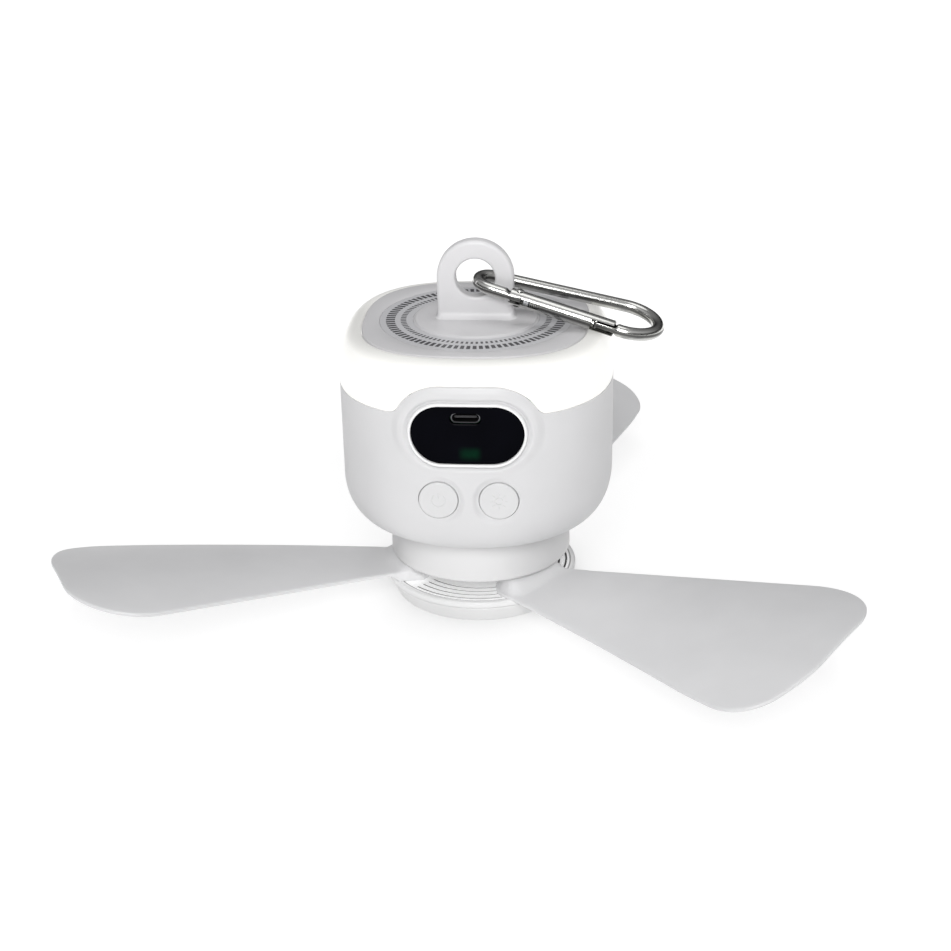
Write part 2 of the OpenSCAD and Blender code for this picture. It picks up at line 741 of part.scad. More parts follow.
module base_cap() {
    color("white") difference() {
        rotate_extrude($fn = 96) polygon([[0, 0], [base_r - 1.4, 0], [base_r - 0.5, 0.35],
            [base_r, 1.3], [base_top_r, base_h - 0.9], [base_top_r - 0.4, base_h], [0, base_h]]);
        translate([0, 0, base_wall]) cylinder(r1 = base_r - 1.9, r2 = base_in_r,
            h = base_h - skirt_h - snug - base_wall, $fn = 96);
        translate([0, 0, base_h - skirt_h - snug - eps])
            cylinder(r = base_in_r, h = skirt_h + 1, $fn = 96);
    }
}

// A blade lies along local X, its outline is rounded corner by corner
blade_scale = tip_r / 141.7;
blade_corners = [[19, -9.2, 1], [118.1, -5.7, 148], [139.6, -3.2, 15.2], [141.2, 20.4, 45],
    [127.1, 59.6, 22.2], [106.2, 62.2, 20.7], [19, 9.4, 1]];
function corner_arc(a, b, c, r, n) =
    let (u = (a - b) / norm(a - b), v = (c - b) / norm(c - b),
        half = acos(max(-1, min(1, u * v))) / 2,
        d = r / tan(half), mid = b + (u + v) / norm(u + v) * r / sin(half),
        p = b + u * d, q = b + v * d,
        t0 = atan2(p[1] - mid[1], p[0] - mid[0]), t1 = atan2(q[1] - mid[1], q[0] - mid[0]),
        turn = (t1 - t0 + 540) % 360 - 180)
    [for (i = [0 : n]) mid + r * [cos(t0 + turn * i / n), sin(t0 + turn * i / n)]];
function rounded(c) = [for (i = [0 : len(c) - 1])
    let (m = len(c), a = c[(i + m - 1) % m], b = c[i], d = c[(i + 1) % m])
    each corner_arc([a[0], a[1]], [b[0], b[1]], [d[0], d[1]], b[2], b[2] > 5 ? 5 : 1)];
// Long straight edges get points on the way, so that they follow the bend of the blade
function finer(p) = [for (i = [0 : len(p) - 1])
    let (a = p[i], b = p[(i + 1) % len(p)], n = ceil(norm(b - a) / 26))
    for (k = [0 : n - 1]) a + (b - a) * k / n];
function blade_lift(u, v) = base_h + hub_t + 1.9 + 0.104 * (u - 30) + 0.126 * v
    + 0.174 * (u - 30) * v / 80 - 4.26 * pow(v / 40, 2) - 3.39 * pow((u - 30) / 100, 2);
function at_height(p, dz) = [p[0] * blade_scale, p[1], blade_lift(p[0], p[1]) + dz];
// The middle line that the outline shrinks towards
function spine(p) = let (u = max(24, min(118, p[0]))) [u, (u - 24) * 0.23 + 1.5];
blade_rings = [0, 0.35, 0.7, 1];
boss_screw_r = base_in_r - skirt_t - head_r - 0.7;
blade_screw_spots = [for (t = [-4, 25]) boss_screw_r * [cos(t), sin(t)]];
boss_r = 3.7;
boss_h = 5.1;
boss_at = hub_r - boss_r - 0.4;
module blade_frame(b) { rotate(blade_turn + 360 * b / blade_count) children(); }
module blade_plate() {
    edge = finer(rounded(blade_corners));
    loop = function(k, dz) [for (p = edge) at_height(p + (spine(p) - p) * k * 0.94, dz)];
    half = blade_t / 2;
    loft(concat(
        [for (i = [len(blade_rings) - 1 : -1 : 0]) loop(blade_rings[i], i == 0 ? -half * 0.5 : -half)],
        [for (i = [0 : len(blade_rings) - 1]) loop(blade_rings[i], i == 0 ? half * 0.5 : half)]));
}
module blade(b) {
    color("whitesmoke") blade_frame(b) difference() {
        union() {
            blade_plate();
            hull() for (t = [root_from + 8, root_from + 20, root_to - 20, root_to - 8], k = [0, 1])
                rotate(t) translate([boss_at - 5 * k, 0, hub_top]) {
                    cylinder(r = boss_r, h = 0.8, $fn = 24);
                    translate([0, 0, boss_h - boss_r]) sphere(r = boss_r, $fn = 24);
                }
        }
        translate([0, 0, hub_top - 10]) cylinder(r = 60, h = 10);
        for (p = blade_screw_spots) translate([p[0], p[1], hub_top - 1])
            cylinder(r = pilot_r, h = 4.2);
    }
}
module blade_1() { blade(0); }
module blade_2() { blade(1); }
module blade_3() { blade(2); }
module blade_screws() {
    l = hub_t + 3;
    color("silver") for (b = [0 : blade_count - 1]) blade_frame(b)
        for (p = blade_screw_spots) translate([p[0], p[1], hub_z + l]) mirror([0, 0, 1]) screw(l);
}

// ---- Carabiner ----
// Local frame: X along the clip from the middle of the loop's hole, Y across it
clip_x = 6.5;
clip_drop = 0.2;         // how far below the middle of the hole it hangs
clip_far = clip_x + clip_l;
taper = asin((clip_wide_r - clip_small_r) / clip_l);
pin_x = 15;
pin_r = 0.8;
gate_end = 46.5;
tongue_t = 2;
tongue_end = 40;
gate_wall = 0.45;
stop_x = pin_x + 7.4;
gate_in_r = gate_r - gate_wall;
module clip_frame() {
    translate([0, 0, loop_z - clip_drop]) rotate([0, clip_slope, -clip_turn])
        rotate([clip_lean, 0, 0]) children();
}
// The gate side of the clip runs at the taper angle, from the narrow to the wide bend
function leg(s) = [s, -clip_small_r / cos(taper) - (s - clip_x) * tan(taper)];
module gate_frame() {
    translate([pin_x, leg(pin_x)[1], 0]) rotate(-taper) children();
}
function in_gate(s) = (s - pin_x) / cos(taper);
module bend(x, r, from, to) {
    translate([x, 0, 0]) rotate(from) rotate_extrude(angle = to - from, $fn = 64)
        translate([r, 0]) circle(wire_r, $fn = 32);
}
module rod(l, r) { rotate([0, 90, 0]) cylinder(r = r, h = l, $fn = 32); }
// A straight length of wire runs a little way into the bend at each end
lap = 0.3;
module wire(from, to) {
    translate([from - lap, 0, 0]) rod(to - from + 2 * lap, wire_r - 0.02);
}
module carabiner_wire() {
    straight = clip_l * cos(taper);
    color("silver") clip_frame() difference() {
        union() {
            bend(clip_x, clip_small_r, 90 + taper, 270 - taper);
            bend(clip_far, clip_wide_r, -90 - taper, 90 + taper);
            translate([clip_x - clip_small_r * sin(taper), clip_small_r * cos(taper), 0])
                rotate(taper) wire(0, straight);
            gate_frame() {
                near = in_gate(clip_x - clip_small_r * sin(taper));
                wire(near, -gate_r - 1.4);
                translate([-gate_r - 2, -wire_r + 0.3, -tongue_t / 2])
                    cube([gate_r + 3.6, 2 * wire_r - 0.6, tongue_t]);
                nose = in_gate(gate_end) + gap;
                far = in_gate(clip_far - clip_wide_r * sin(taper));
                wire(nose + lap, far);
                translate([in_gate(tongue_end), -wire_r + 0.2, -tongue_t / 2])
                    cube([nose - in_gate(tongue_end) + 1, 2 * wire_r - 0.5, tongue_t]);
                translate([in_gate(tongue_end), -wire_r + 0.2, -tongue_t / 2 - 0.7])
                    cube([1.8, 1.6, tongue_t + 1.4]);
            }
        }
        gate_frame() translate([0, 0, -5]) cylinder(r = pin_r + 0.05, h = 10);
    }
}
module carabiner_gate() {
    tip = in_gate(gate_end);
    color("gainsboro") clip_frame() gate_frame() difference() {
        translate([-gate_r, 0, 0]) rod(tip + gate_r, gate_r);
        translate([-gate_r - 1, 0, 0]) rod(stop_x - pin_x + gate_r + 1, gate_in_r);
        translate([in_gate(tongue_end) - 1.4, 0, 0]) rod(20, gate_in_r);
        translate([-gate_r - 1, -5, -tongue_t / 2 - gap])
            cube([gate_r + 4, 10, tongue_t + 2 * gap]);
        translate([3, -5, -0.9]) cube([stop_x - pin_x - 3.2, 5, 1.8]);
        translate([in_gate(tongue_end) - 0.8, -5, -tongue_t / 2 - 0.7 - gap])
            cube([3.4, 5, tongue_t + 1.4 + 2 * gap]);
        translate([in_gate(tongue_end) - 0.8, -5, -tongue_t / 2 - gap])
            cube([20, 7.2, tongue_t + 2 * gap]);
        translate([0, 0, -5]) cylinder(r = pin_r, h = 10);
    }
}
module gate_pin() {
    pin_head_h = 0.5;
    color("silver") clip_frame() gate_frame() translate([0, 0, -gate_r - pin_head_h]) union() {
        cylinder(r = pin_r, h = 2 * (gate_r + pin_head_h));
        for (z = [0, 2 * gate_r + pin_head_h]) translate([0, 0, z])
            cylinder(r = 1.3, h = pin_head_h);
    }
}
plunger_l = 1.6;
spring_x = wire_r + plunger_l + gap;
module gate_plunger() {
    color("silver") clip_frame() gate_frame() translate([wire_r + gap - 0.1, 0, 0])
        rod(plunger_l, gate_in_r - snug);
}
spring_turns = 5;
spring_wire = 0.28;
spring_steps = 12;
module gate_spring() {
    r = gate_in_r - spring_wire - snug;
    from = wire_r + gap - 0.1 + plunger_l + spring_wire;
    l = stop_x - pin_x - from - spring_wire;
    path = [for (i = [0 : spring_turns * spring_steps])
        let (a = 360 * i / spring_steps) [from + l * i / (spring_turns * spring_steps), a]];
    color("gray") clip_frame() gate_frame() loft([for (p = path)
        [for (j = [0 : 5]) let (c = r + spring_wire * cos(60 * j))
            [p[0] + spring_wire * sin(60 * j), c * cos(p[1]), c * sin(p[1])]]]);
}

housing();
light_diffuser();
top_cap();
label_ring();
cap_screws();
light_tray();
tray_screws();
led_board();
led_chips();
display_window();
digit_display();
control_board();
board_screws();
usb_socket();
usb_tongue();
tact_switches();
power_button();
power_plunger();
light_button();
light_plunger();
battery_cell_1();
battery_cell_2();
battery_cell_3();
battery_holder();
battery_tabs();
motor_cover();
cover_screws();
motor_mount();
motor_screws();
bearing_upper();
bearing_lower();
stator_core();
stator_coils();
motor_bell();
magnet_ring();
motor_shaft();
shaft_circlip();
rotor_hub();
hub_nut();
base_cap();
blade_screws();
blade_1();
blade_2();
blade_3();
carabiner_wire();
carabiner_gate();
gate_pin();
gate_spring();
gate_plunger();
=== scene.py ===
from math import acos, asin, atan2, copysign, cos, degrees, pi, radians, sin, sqrt, tan

import bmesh
import bpy
import numpy as np
from mathutils import Matrix, Vector


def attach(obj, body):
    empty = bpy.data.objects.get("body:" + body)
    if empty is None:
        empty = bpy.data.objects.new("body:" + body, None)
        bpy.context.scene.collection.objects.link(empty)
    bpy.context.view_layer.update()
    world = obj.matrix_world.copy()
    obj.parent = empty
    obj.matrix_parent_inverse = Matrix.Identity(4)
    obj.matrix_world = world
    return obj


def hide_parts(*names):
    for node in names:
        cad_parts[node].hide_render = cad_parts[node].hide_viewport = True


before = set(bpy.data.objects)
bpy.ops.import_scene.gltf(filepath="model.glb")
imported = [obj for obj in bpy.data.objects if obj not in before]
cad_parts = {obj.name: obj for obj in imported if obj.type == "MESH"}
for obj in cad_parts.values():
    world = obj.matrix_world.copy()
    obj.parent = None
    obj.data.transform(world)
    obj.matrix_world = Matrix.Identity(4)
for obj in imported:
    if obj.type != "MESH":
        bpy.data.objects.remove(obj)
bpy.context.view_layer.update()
mm = 0.001
turn = 2 * pi

# Everything is drawn in millimetres and only turned into metres when a mesh is made

cameraView = {
    "azimuth": 4.92, "elevation": 24.31, "roll": 1.25, "distance": 599.0, "aimHeight": 39.18,
    "aimSide": -1.39, "lens": 68.02, "sensor": 36, "nearest": 0.01, "farthest": 100,
}


def addObject(name, data):
    made = bpy.data.objects.new(name, data)
    bpy.context.scene.collection.objects.link(made)
    return made


def turnedBy(angle, axis):
    return Matrix.Rotation(radians(angle), 4, axis)


def addCamera():
    view = cameraView
    camera = addObject("camera", bpy.data.cameras.new("camera"))
    camera.data.lens, camera.data.sensor_width = view["lens"], view["sensor"]
    camera.data.clip_start, camera.data.clip_end = view["nearest"], view["farthest"]
    aim = Vector((view["aimSide"], 0, view["aimHeight"])) * mm
    back = Vector((0, 0, view["distance"])) * mm
    camera.matrix_world = (turnedBy(view["azimuth"], "Z") @ Matrix.Translation(aim)
                           @ turnedBy(90 - view["elevation"], "X") @ Matrix.Translation(back)
                           @ turnedBy(-view["roll"], "Z"))
    bpy.context.scene.camera = camera


addCamera()
print("camera placed")

# Node helpers

def addNode(tree, kind, inputs, **settings):
    # an input is a number, a colour or the output that feeds it
    node = tree.nodes.new("ShaderNode" + kind)
    for key, value in settings.items():
        setattr(node, key, value)
    for key, value in inputs.items():
        if isinstance(value, bpy.types.NodeSocket):
            tree.links.new(value, node.inputs[key])
        else:
            node.inputs[key].default_value = value
    return node


def mathNode(tree, operation, first, second=None, clamp=False):
    inputs = {0: first} if second is None else {0: first, 1: second}
    return addNode(tree, "Math", inputs, operation=operation, use_clamp=clamp).outputs["Value"]


def mapped(tree, source, low, high):
    return addNode(tree, "MapRange", {"Value": source, "To Min": low, "To Max": high}).outputs["Result"]


def faded(tree, source, start, end, low=0.0, high=1.0):
    # a soft step from one value of the source to another
    inputs = {"Value": source, "From Min": start, "From Max": end, "To Min": low, "To Max": high}
    return addNode(tree, "MapRange", inputs, interpolation_type="SMOOTHSTEP").outputs["Result"]


def placeOf(tree, kind="Object"):
    return addNode(tree, "TexCoord", {}).outputs[kind]


def axesOf(tree, kind="Object"):
    return addNode(tree, "SeparateXYZ", {"Vector": placeOf(tree, kind)}).outputs


def reachOf(tree):
    # distance from the middle of the frame
    return addNode(tree, "VectorMath", {0: placeOf(tree)}, operation="LENGTH").outputs["Value"]


def cloudy(tree, scale, detail=2.0):
    inputs = {"Vector": placeOf(tree), "Scale": scale, "Detail": detail}
    return addNode(tree, "TexNoise", inputs).outputs["Fac"]


def rampOf(tree, source, stops):
    made = addNode(tree, "ValToRGB", {"Fac": source})
    ramp = made.color_ramp
    while len(ramp.elements) < len(stops):
        ramp.elements.new(0.5)
    for stop, (position, tint) in zip(ramp.elements, stops):
        stop.position = position
        stop.color = (*tint, 1)
    return made.outputs["Color"]


def shaderOf(made):
    return made.node_tree.nodes["Principled BSDF"]


def tintBy(made, share, tint):
    # lays another tint over a finish where the share is one
    tree, base = made.node_tree, shaderOf(made).inputs["Base Color"]
    inputs = {"Factor": share, "A": base.links[0].from_socket, "B": (*tint, 1)}
    tree.links.new(addNode(tree, "Mix", inputs, data_type="RGBA").outputs["Result"], base)


def glowBy(made, tint, strength):
    shader = shaderOf(made)
    shader.inputs["Emission Color"].default_value = (*tint, 1)
    made.node_tree.links.new(strength, shader.inputs["Emission Strength"])
    return made


studio = {
    "skyTint": (0.99, 0.99, 1.0, 1), "skyLow": 0.02, "skyHigh": 0.45, "skyStarts": 0.2, "skyEnds": 0.75,
    "front": {"at": (0.02, -1.7, 1.12), "size": 0.9, "power": 25.2},
    "top": {"at": (0.1, 0.1, 1.9), "size": 1.2, "power": 8.5}, "lightAim": (0, 0, 0.05),
    "floorTint": 0.34, "floorSize": 40.0, "floorDrop": 0.0001,
    # floor glow by distance from the middle; the dull ring close round the base is a painted contact
    # shadow
    "floorStops": [(29.0, 0.54), (33.0, 0.62), (38.0, 0.68), (48.0, 0.71), (120.0, 0.715), (450.0, 0.95)],
}


def addLight(name):
    plan = studio[name]
    lamp = bpy.data.lights.new(name + "Light", "AREA")
    lamp.shape = "DISK"
    lamp.size = plan["size"]
    lamp.energy = plan["power"]
    holder = addObject(name + "Light", lamp)
    holder.location = plan["at"]
    aim = Vector(studio["lightAim"]) - Vector(plan["at"])
    holder.rotation_euler = aim.to_track_quat("-Z", "Y").to_euler()


def addStudio():
    world = bpy.data.worlds.new("studio")
    world.use_nodes = True
    tree = world.node_tree
    sky = tree.nodes["Background"]
    sky.inputs["Color"].default_value = studio["skyTint"]
    # dim near the horizon, bright overhead
    rise = faded(tree, axesOf(tree, "Generated")["Z"], studio["skyStarts"], studio["skyEnds"],
                 studio["skyLow"], studio["skyHigh"])
    tree.links.new(rise, sky.inputs["Strength"])
    scene = bpy.context.scene
    scene.world = world
    for name in ("front", "top"):
        addLight(name)
    scene.view_settings.view_transform = "Standard"
    scene.view_settings.look = "None"


addStudio()
print("lights placed")


# Finishes

def finishOf(name, tint, rough, metal=0.0, grain=2600.0, bump=0.004, vary=0.02,
             roughVary=0.06, patch=70.0, specular=0.5):
    # tint varies in soft patches, roughness and bump in a fine moulded grain
    made = bpy.data.materials.new(name)
    made.use_nodes = True
    tree, shader = made.node_tree, shaderOf(made)
    shader.inputs["Metallic"].default_value = metal
    shader.inputs["Specular IOR Level"].default_value = specular
    low = [c * (1 - vary) for c in tint]
    high = [min(1.0, c * (1 + vary)) for c in tint]
    fine = cloudy(tree, grain, 3.0)
    relief = addNode(tree, "Bump", {"Distance": bump * mm, "Height": fine})
    for key, source in (("Base Color", rampOf(tree, cloudy(tree, patch), [(0.3, low), (0.7, high)])),
                        ("Roughness", mapped(tree, fine, rough - roughVary, rough + roughVary)),
                        ("Normal", relief.outputs["Normal"])):
        tree.links.new(source, shader.inputs[key])
    return made


# tint, roughness and what else differs from the usual finish
finishes = {
    "whiteShell": ((0.665, 0.663, 0.67), 0.42, {"vary": 0.012, "bump": 0.003}),
    "neckShell": ((0.72, 0.718, 0.72), 0.4, {"vary": 0.012, "bump": 0.003}),
    "rotorShell": ((0.74, 0.74, 0.74), 0.4, {"vary": 0.015, "bump": 0.003}),
    "buttonShell": ((0.655, 0.655, 0.66), 0.45, {"vary": 0.01}),
    # the window rim is the housing's white, lighter as a painted highlight
    "rimPaintedHighlight": ((0.86, 0.86, 0.86), 0.35, {"vary": 0.01}),
    "capShell": ((0.6, 0.595, 0.605), 0.42, {"bump": 0.003}),
    # the loop is the cap's own grey with painted light: a lighter tint for its lit front
    "loopShell": ((0.69, 0.685, 0.695), 0.42, {"bump": 0.003}),
    "zincSteel": ((0.62, 0.63, 0.64), 0.3, {"metal": 1.0, "vary": 0.06}),
    "motorSteel": ((0.4, 0.41, 0.43), 0.4, {"metal": 1.0, "vary": 0.08}),
    "aluminium": ((0.7, 0.71, 0.72), 0.42, {"metal": 1.0, "vary": 0.05}),
    "socketSteel": ((0.16, 0.16, 0.17), 0.35, {"metal": 1.0, "vary": 0.08}),
    "magnet": ((0.09, 0.09, 0.1), 0.6, {"vary": 0.2}),
    "copper": ((0.72, 0.3, 0.12), 0.35, {"metal": 1.0, "vary": 0.12, "grain": 1400}),
    "trayPlastic": ((0.8, 0.8, 0.78), 0.5, {}),
    "boardWhite": ((0.82, 0.83, 0.82), 0.45, {"vary": 0.03}),
    "boardGreen": ((0.02, 0.13, 0.05), 0.4, {"vary": 0.25, "patch": 400}),
    "darkPlastic": ((0.03, 0.03, 0.033), 0.5, {"vary": 0.15}),
    "holderPlastic": ((0.09, 0.09, 0.095), 0.55, {"vary": 0.1}),
    "cellWrap": ((0.03, 0.12, 0.36), 0.35, {"vary": 0.12, "patch": 90}),
    "springSteel": ((0.5, 0.5, 0.48), 0.25, {"metal": 1.0, "vary": 0.08}),
    "displayGlass": ((0.02, 0.06, 0.03), 0.2, {"vary": 0.2}),
    "ledLens": ((0.8, 0.72, 0.2), 0.3, {"vary": 0.05}),
}
materials = {name: finishOf(name, tint, rough, **rest) for name, (tint, rough, rest) in finishes.items()}

# painted reflections: how bright the metal's colour is painted where it faces down (-1) to up (1)
paintedReflectionStops = [(-1.0, 0.6), (-0.5, 0.62), (-0.32, 0.34), (-0.16, 0.1), (0.1, 0.12), (0.27, 0.8), (0.5, 0.95),
             (0.63, 0.7), (0.76, 0.38), (0.95, 0.3), (1.0, 0.24)]


def paintedReflectionMetal(name, rough):
    # polished metal with painted reflections: the light and dark bands that a bright room leaves along a
    # bar are painted into its colour by which way it faces
    made = finishOf(name, (0.8, 0.8, 0.78), rough, metal=1.0, grain=900, roughVary=0.02)
    tree = made.node_tree
    level = addNode(tree, "MapRange", {"Value": axesOf(tree, "Normal")["Z"], "From Min": -1.0})
    stops = [((height + 1) / 2, (shade, shade, shade * 0.97)) for height, shade in paintedReflectionStops]
    tree.links.new(rampOf(tree, level.outputs["Result"], stops), shaderOf(made).inputs["Base Color"])
    return made


materials["chrome"] = paintedReflectionMetal("chrome", 0.2)


# Mesh helpers

def meshFrom(name, points, faces):
    mesh = bpy.data.meshes.new(name)
    mesh.from_pydata([tuple(np.array(p) * mm) for p in points], [], faces)
    shape = bmesh.new()
    shape.from_mesh(mesh)
    bmesh.ops.remove_doubles(shape, verts=shape.verts, dist=1e-7)
    bmesh.ops.recalc_face_normals(shape, faces=shape.faces)
    shape.to_mesh(mesh)
    shape.free()
    return addObject(name, mesh)


def smoothShade(mesh, crease):
    mesh.polygons.foreach_set("use_smooth", [True] * len(mesh.polygons))
    mesh.set_sharp_from_angle(angle=radians(crease))


def pieceFrom(name, points, faces, finish, body, slotName, stands=(), crease=32):
    piece = meshFrom(name, points, faces)
    smoothShade(piece.data, crease)
    piece.data.materials.append(materials[finish])
    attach(piece, body)
    if stands:
        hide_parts(*stands)
    return piece


def cutWith(piece, points, faces, crease=32):
    # takes a closed shape out of a piece
    cutter = meshFrom("cutter", points, faces)
    change = piece.modifiers.new("cut", "BOOLEAN")
    change.operation = "DIFFERENCE"
    change.solver = "EXACT"
    change.object = cutter
    bpy.context.view_layer.update()
    seen = piece.evaluated_get(bpy.context.evaluated_depsgraph_get())
    mesh = bpy.data.meshes.new_from_object(seen)
    piece.modifiers.clear()
    old, piece.data = piece.data, mesh
    bpy.data.meshes.remove(old)
    bpy.data.objects.remove(cutter)
    smoothShade(piece.data, crease)


def loopFaces(rows, columns, closeRows=False):
    # faces between rows of points that each run round in a ring
    faces = []
    for j in range(rows if closeRows else rows - 1):
        k = (j + 1) % rows
        for i in range(columns):
            h = (i + 1) % columns
            faces.append((j * columns + i, j * columns + h, k * columns + h, k * columns + i))
    return faces


def cappedFaces(rows, columns):
    last = (rows - 1) * columns
    return loopFaces(rows, columns) + [tuple(range(columns)), tuple(range(last, last + columns))]


def filletCorners(corners, steps=6):
    # corners are (x, y, radius); an open run keeps its two ends
    outline = [np.array(corners[0][:2], float)]
    for before, here, after in zip(corners, corners[1:], corners[2:]):
        outline += cornerArc(before, here, after, steps) if here[2] > 0 else [np.array(here[:2], float)]
    outline.append(np.array(corners[-1][:2], float))
    return outline


def cornerArc(before, here, after, steps):
    a, b, c = (np.array(p[:2], float) for p in (before, here, after))
    u = (a - b) / np.linalg.norm(a - b)
    v = (c - b) / np.linalg.norm(c - b)
    half = acos(max(-1.0, min(1.0, float(u @ v)))) / 2
    radius = here[2]
    middle = b + (u + v) / np.linalg.norm(u + v) * radius / sin(half)
    start = b + u * radius / tan(half) - middle
    end = b + v * radius / tan(half) - middle
    t0 = atan2(start[1], start[0])
    t1 = atan2(end[1], end[0])
    swing = (t1 - t0 + 3 * pi) % turn - pi
    return [middle + radius * np.array([cos(t0 + swing * i / steps),
                                        sin(t0 + swing * i / steps)])
            for i in range(steps + 1)]


def circle(steps):
    return [(cos(turn * i / steps), sin(turn * i / steps)) for i in range(steps)]


def arcSteps(*angles):
    return [(cos(t), sin(t)) for t in map(radians, angles)]


def spun(profile, steps, closed=True, axis="z", centre=(0, 0, 0)):
    # profile of (radius, height) turned round an axis; closed joins its last point to its first
    rings = []
    for r, h in profile:
        for c, s in circle(steps):
            away = {"x": (h, r * c, r * s), "y": (r * c, h, r * s), "z": (r * c, r * s, h)}[axis]
            rings.append(tuple(np.add(centre, away)))
    return rings, loopFaces(len(profile), steps, True) if closed else cappedFaces(len(profile), steps)


def joined(*parts):
    points, faces = [], []
    for p, f in parts:
        first = len(points)
        points += [tuple(q) for q in p]
        faces += [tuple(i + first for i in face) for face in f]
    return points, faces


def prism(outline, low, high, axis):
    # a flat outline drawn out along y or z
    points = [(u, h, v) if axis == "y" else (u, v, h) for h in (low, high) for u, v in outline]
    return points, cappedFaces(2, len(outline))


def slotOutline(halfLength, radius, centre, steps=24, across=1):
    # two half circles, with points on the straight runs where across asks for them
    outline = []
    for side in (1, -1):
        for i in range(steps + 1):
            a = -side * pi / 2 + pi * i / steps
            outline.append((centre[0] + side * halfLength + radius * cos(a),
                            centre[1] + radius * sin(a)))
        for i in range(1, across):
            outline.append((centre[0] + side * halfLength * (1 - 2 * i / across),
                            centre[1] + side * radius))
    return outline


def stepUp(x, low, high):
    t = np.clip((np.asarray(x, float) - low) / (high - low), 0, 1)
    return t * t * (3 - 2 * t)


def tube(path, sections, upright):
    # path points with a ring of (sideways, upright) offsets at each, capped at both ends
    path = [np.array(p, float) for p in path]
    upright = np.array(upright, float)
    rings = []
    for i, p in enumerate(path):
        along = path[min(i + 1, len(path) - 1)] - path[max(i - 1, 0)]
        side = np.cross(upright, along / np.linalg.norm(along))
        side /= np.linalg.norm(side)
        rings += [p + side * s + upright * t for s, t in sections[i]]
    return rings, cappedFaces(len(path), len(sections[0]))


# Body shape, shared by the housing, the light and the window

bodyShape = {
    "halfWidth": 44.0, "squareness": 2.46, "footRadius": 30.8, "underside": 28.8,
    "bowlHeight": 17.2, "wall": 2.0, "seam": 77.9, "seamGap": 0.14,
    "shoulderStart": 84.3, "shoulderHeight": 10.3, "capHalf": 36.15, "capSquareness": 2.75,
    "capLip": 0.8,
}
halfWidth, squareness = bodyShape["halfWidth"], bodyShape["squareness"]
underside, bowlHeight, seam = (bodyShape[key] for key in ("underside", "bowlHeight", "seam"))
bowlTop = underside + bowlHeight
panel = {
    "windowMiddle": 72.3, "windowHalfLength": 8.0, "windowRadius": 9.5, "windowRise": 0.3,
    "lobeReach": 5.9, "lobeRise": 0.7, "cornerFillet": 4.0, "rimWidth": 0.9, "rimRise": 1.0,
    "buttonAcross": 9.4, "buttonHeight": 50.1, "buttonRadius": 6.1, "buttonGap": 0.2,
    "dishReach": 1.5, "dishPlane": 42.95, "fadeFrom": 60, "fadeTo": 76,
    "skirtRise": 0.3, "skirtFrom": 12.2, "skirtTo": 14.6, "moatAt": 10.9, "moatWidth": 0.6,
    "moatDepth": 1.1,
}
windowHalf, windowMiddle, windowRadius = (
    panel[key] for key in ("windowHalfLength", "windowMiddle", "windowRadius"))


def bulge(a, n):
    return (np.abs(np.cos(a)) ** n + np.abs(np.sin(a)) ** n) ** (-1 / n)


def bowlShare(z):
    return np.sqrt(np.clip(1 - ((bowlTop - np.minimum(z, bowlTop)) / bowlHeight) ** 2, 0, 1))


def widthAt(z):
    # half width and squareness of the outside at a height
    b = bodyShape
    z = np.asarray(z, float)
    share = bowlShare(z)
    low = b["footRadius"] + (halfWidth - b["footRadius"]) * share
    a = np.arcsin(np.clip((z - b["shoulderStart"]) / b["shoulderHeight"], 0, 0.9999))
    drop = (halfWidth - b["capHalf"] - b["capLip"]) * (1 - np.cos(a))
    square = 2 + (squareness - 2) * share
    return low - drop, square + (b["capSquareness"] - squareness) * a / (pi / 2)


def panelDistance(x, z):
    return np.hypot(np.maximum(np.abs(x) - windowHalf, 0), z - windowMiddle)


def seamHeight(x, grow=0.0):
    # top edge of the housing: level round the back, up and over the window in front
    reach = windowRadius + panel["lobeReach"] + grow
    fillet = panel["cornerFillet"] - grow
    level = seam + grow
    x = np.abs(np.asarray(x, float))
    run = sqrt((reach + fillet) ** 2 - (level + fillet - windowMiddle) ** 2)
    meets = windowHalf + run * reach / (reach + fillet)
    ends = windowHalf + run
    over = windowMiddle + np.sqrt(np.clip(reach ** 2 - np.maximum(x - windowHalf, 0) ** 2, 0, None))
    into = level + fillet - np.sqrt(np.clip(fillet ** 2 - (ends - np.minimum(x, ends)) ** 2, 0, None))
    return np.where(x < meets, over, np.where(x < ends, into, level))


def fromPlan(a, width, square):
    r = width * bulge(a, square)
    return r * np.cos(a), r * np.sin(a)


def planRings(a, rings):
    # points of rings that each have a width, a squareness and a height
    rows = []
    for width, square, z in rings:
        x, y = fromPlan(a, width, square)
        rows.append(np.stack([x, y, z + 0 * x], 1))
    return np.concatenate(rows)


def planNormal(x, y, square):
    nx = np.sign(x) * np.abs(x) ** (square - 1)
    ny = np.sign(y) * np.abs(y) ** (square - 1)
    size = np.maximum(np.hypot(nx, ny), 1e-9)
    return nx / size, ny / size


def frontDepth(x):
    return (halfWidth ** squareness - np.abs(x) ** squareness) ** (1 / squareness)


def fineAngles(edge, fineStep, coarseStep):
    # turns round the body, closely spaced in front where the panel is
    fine = np.arange(-edge, edge + fineStep / 2, fineStep)
    count = int((360 - 2 * edge) / coarseStep)
    coarse = edge + (360 - 2 * edge) * np.arange(1, count) / count
    return np.radians(270 + np.concatenate([fine, coarse]))


def panelRelief(x, y, z):
    # how far the surface stands out from the plain body: a raised lobe over the window, a low skirt
    # under it and a moat round the rim
    p, d = panel, panelDistance(x, z)
    edge = windowRadius + p["lobeReach"]
    fade = stepUp(z, p["fadeFrom"], p["fadeTo"])
    lobe = fade * (1 - stepUp(d, edge - 2.4, edge + 0.5))
    skirt = p["skirtRise"] * (1 - fade) * (1 - stepUp(d, p["skirtFrom"], p["skirtTo"]))
    moat = p["moatDepth"] * np.exp(-((d - p["moatAt"]) / p["moatWidth"]) ** 2)
    return (y < 0) * (p["lobeRise"] * (lobe + skirt) - moat)


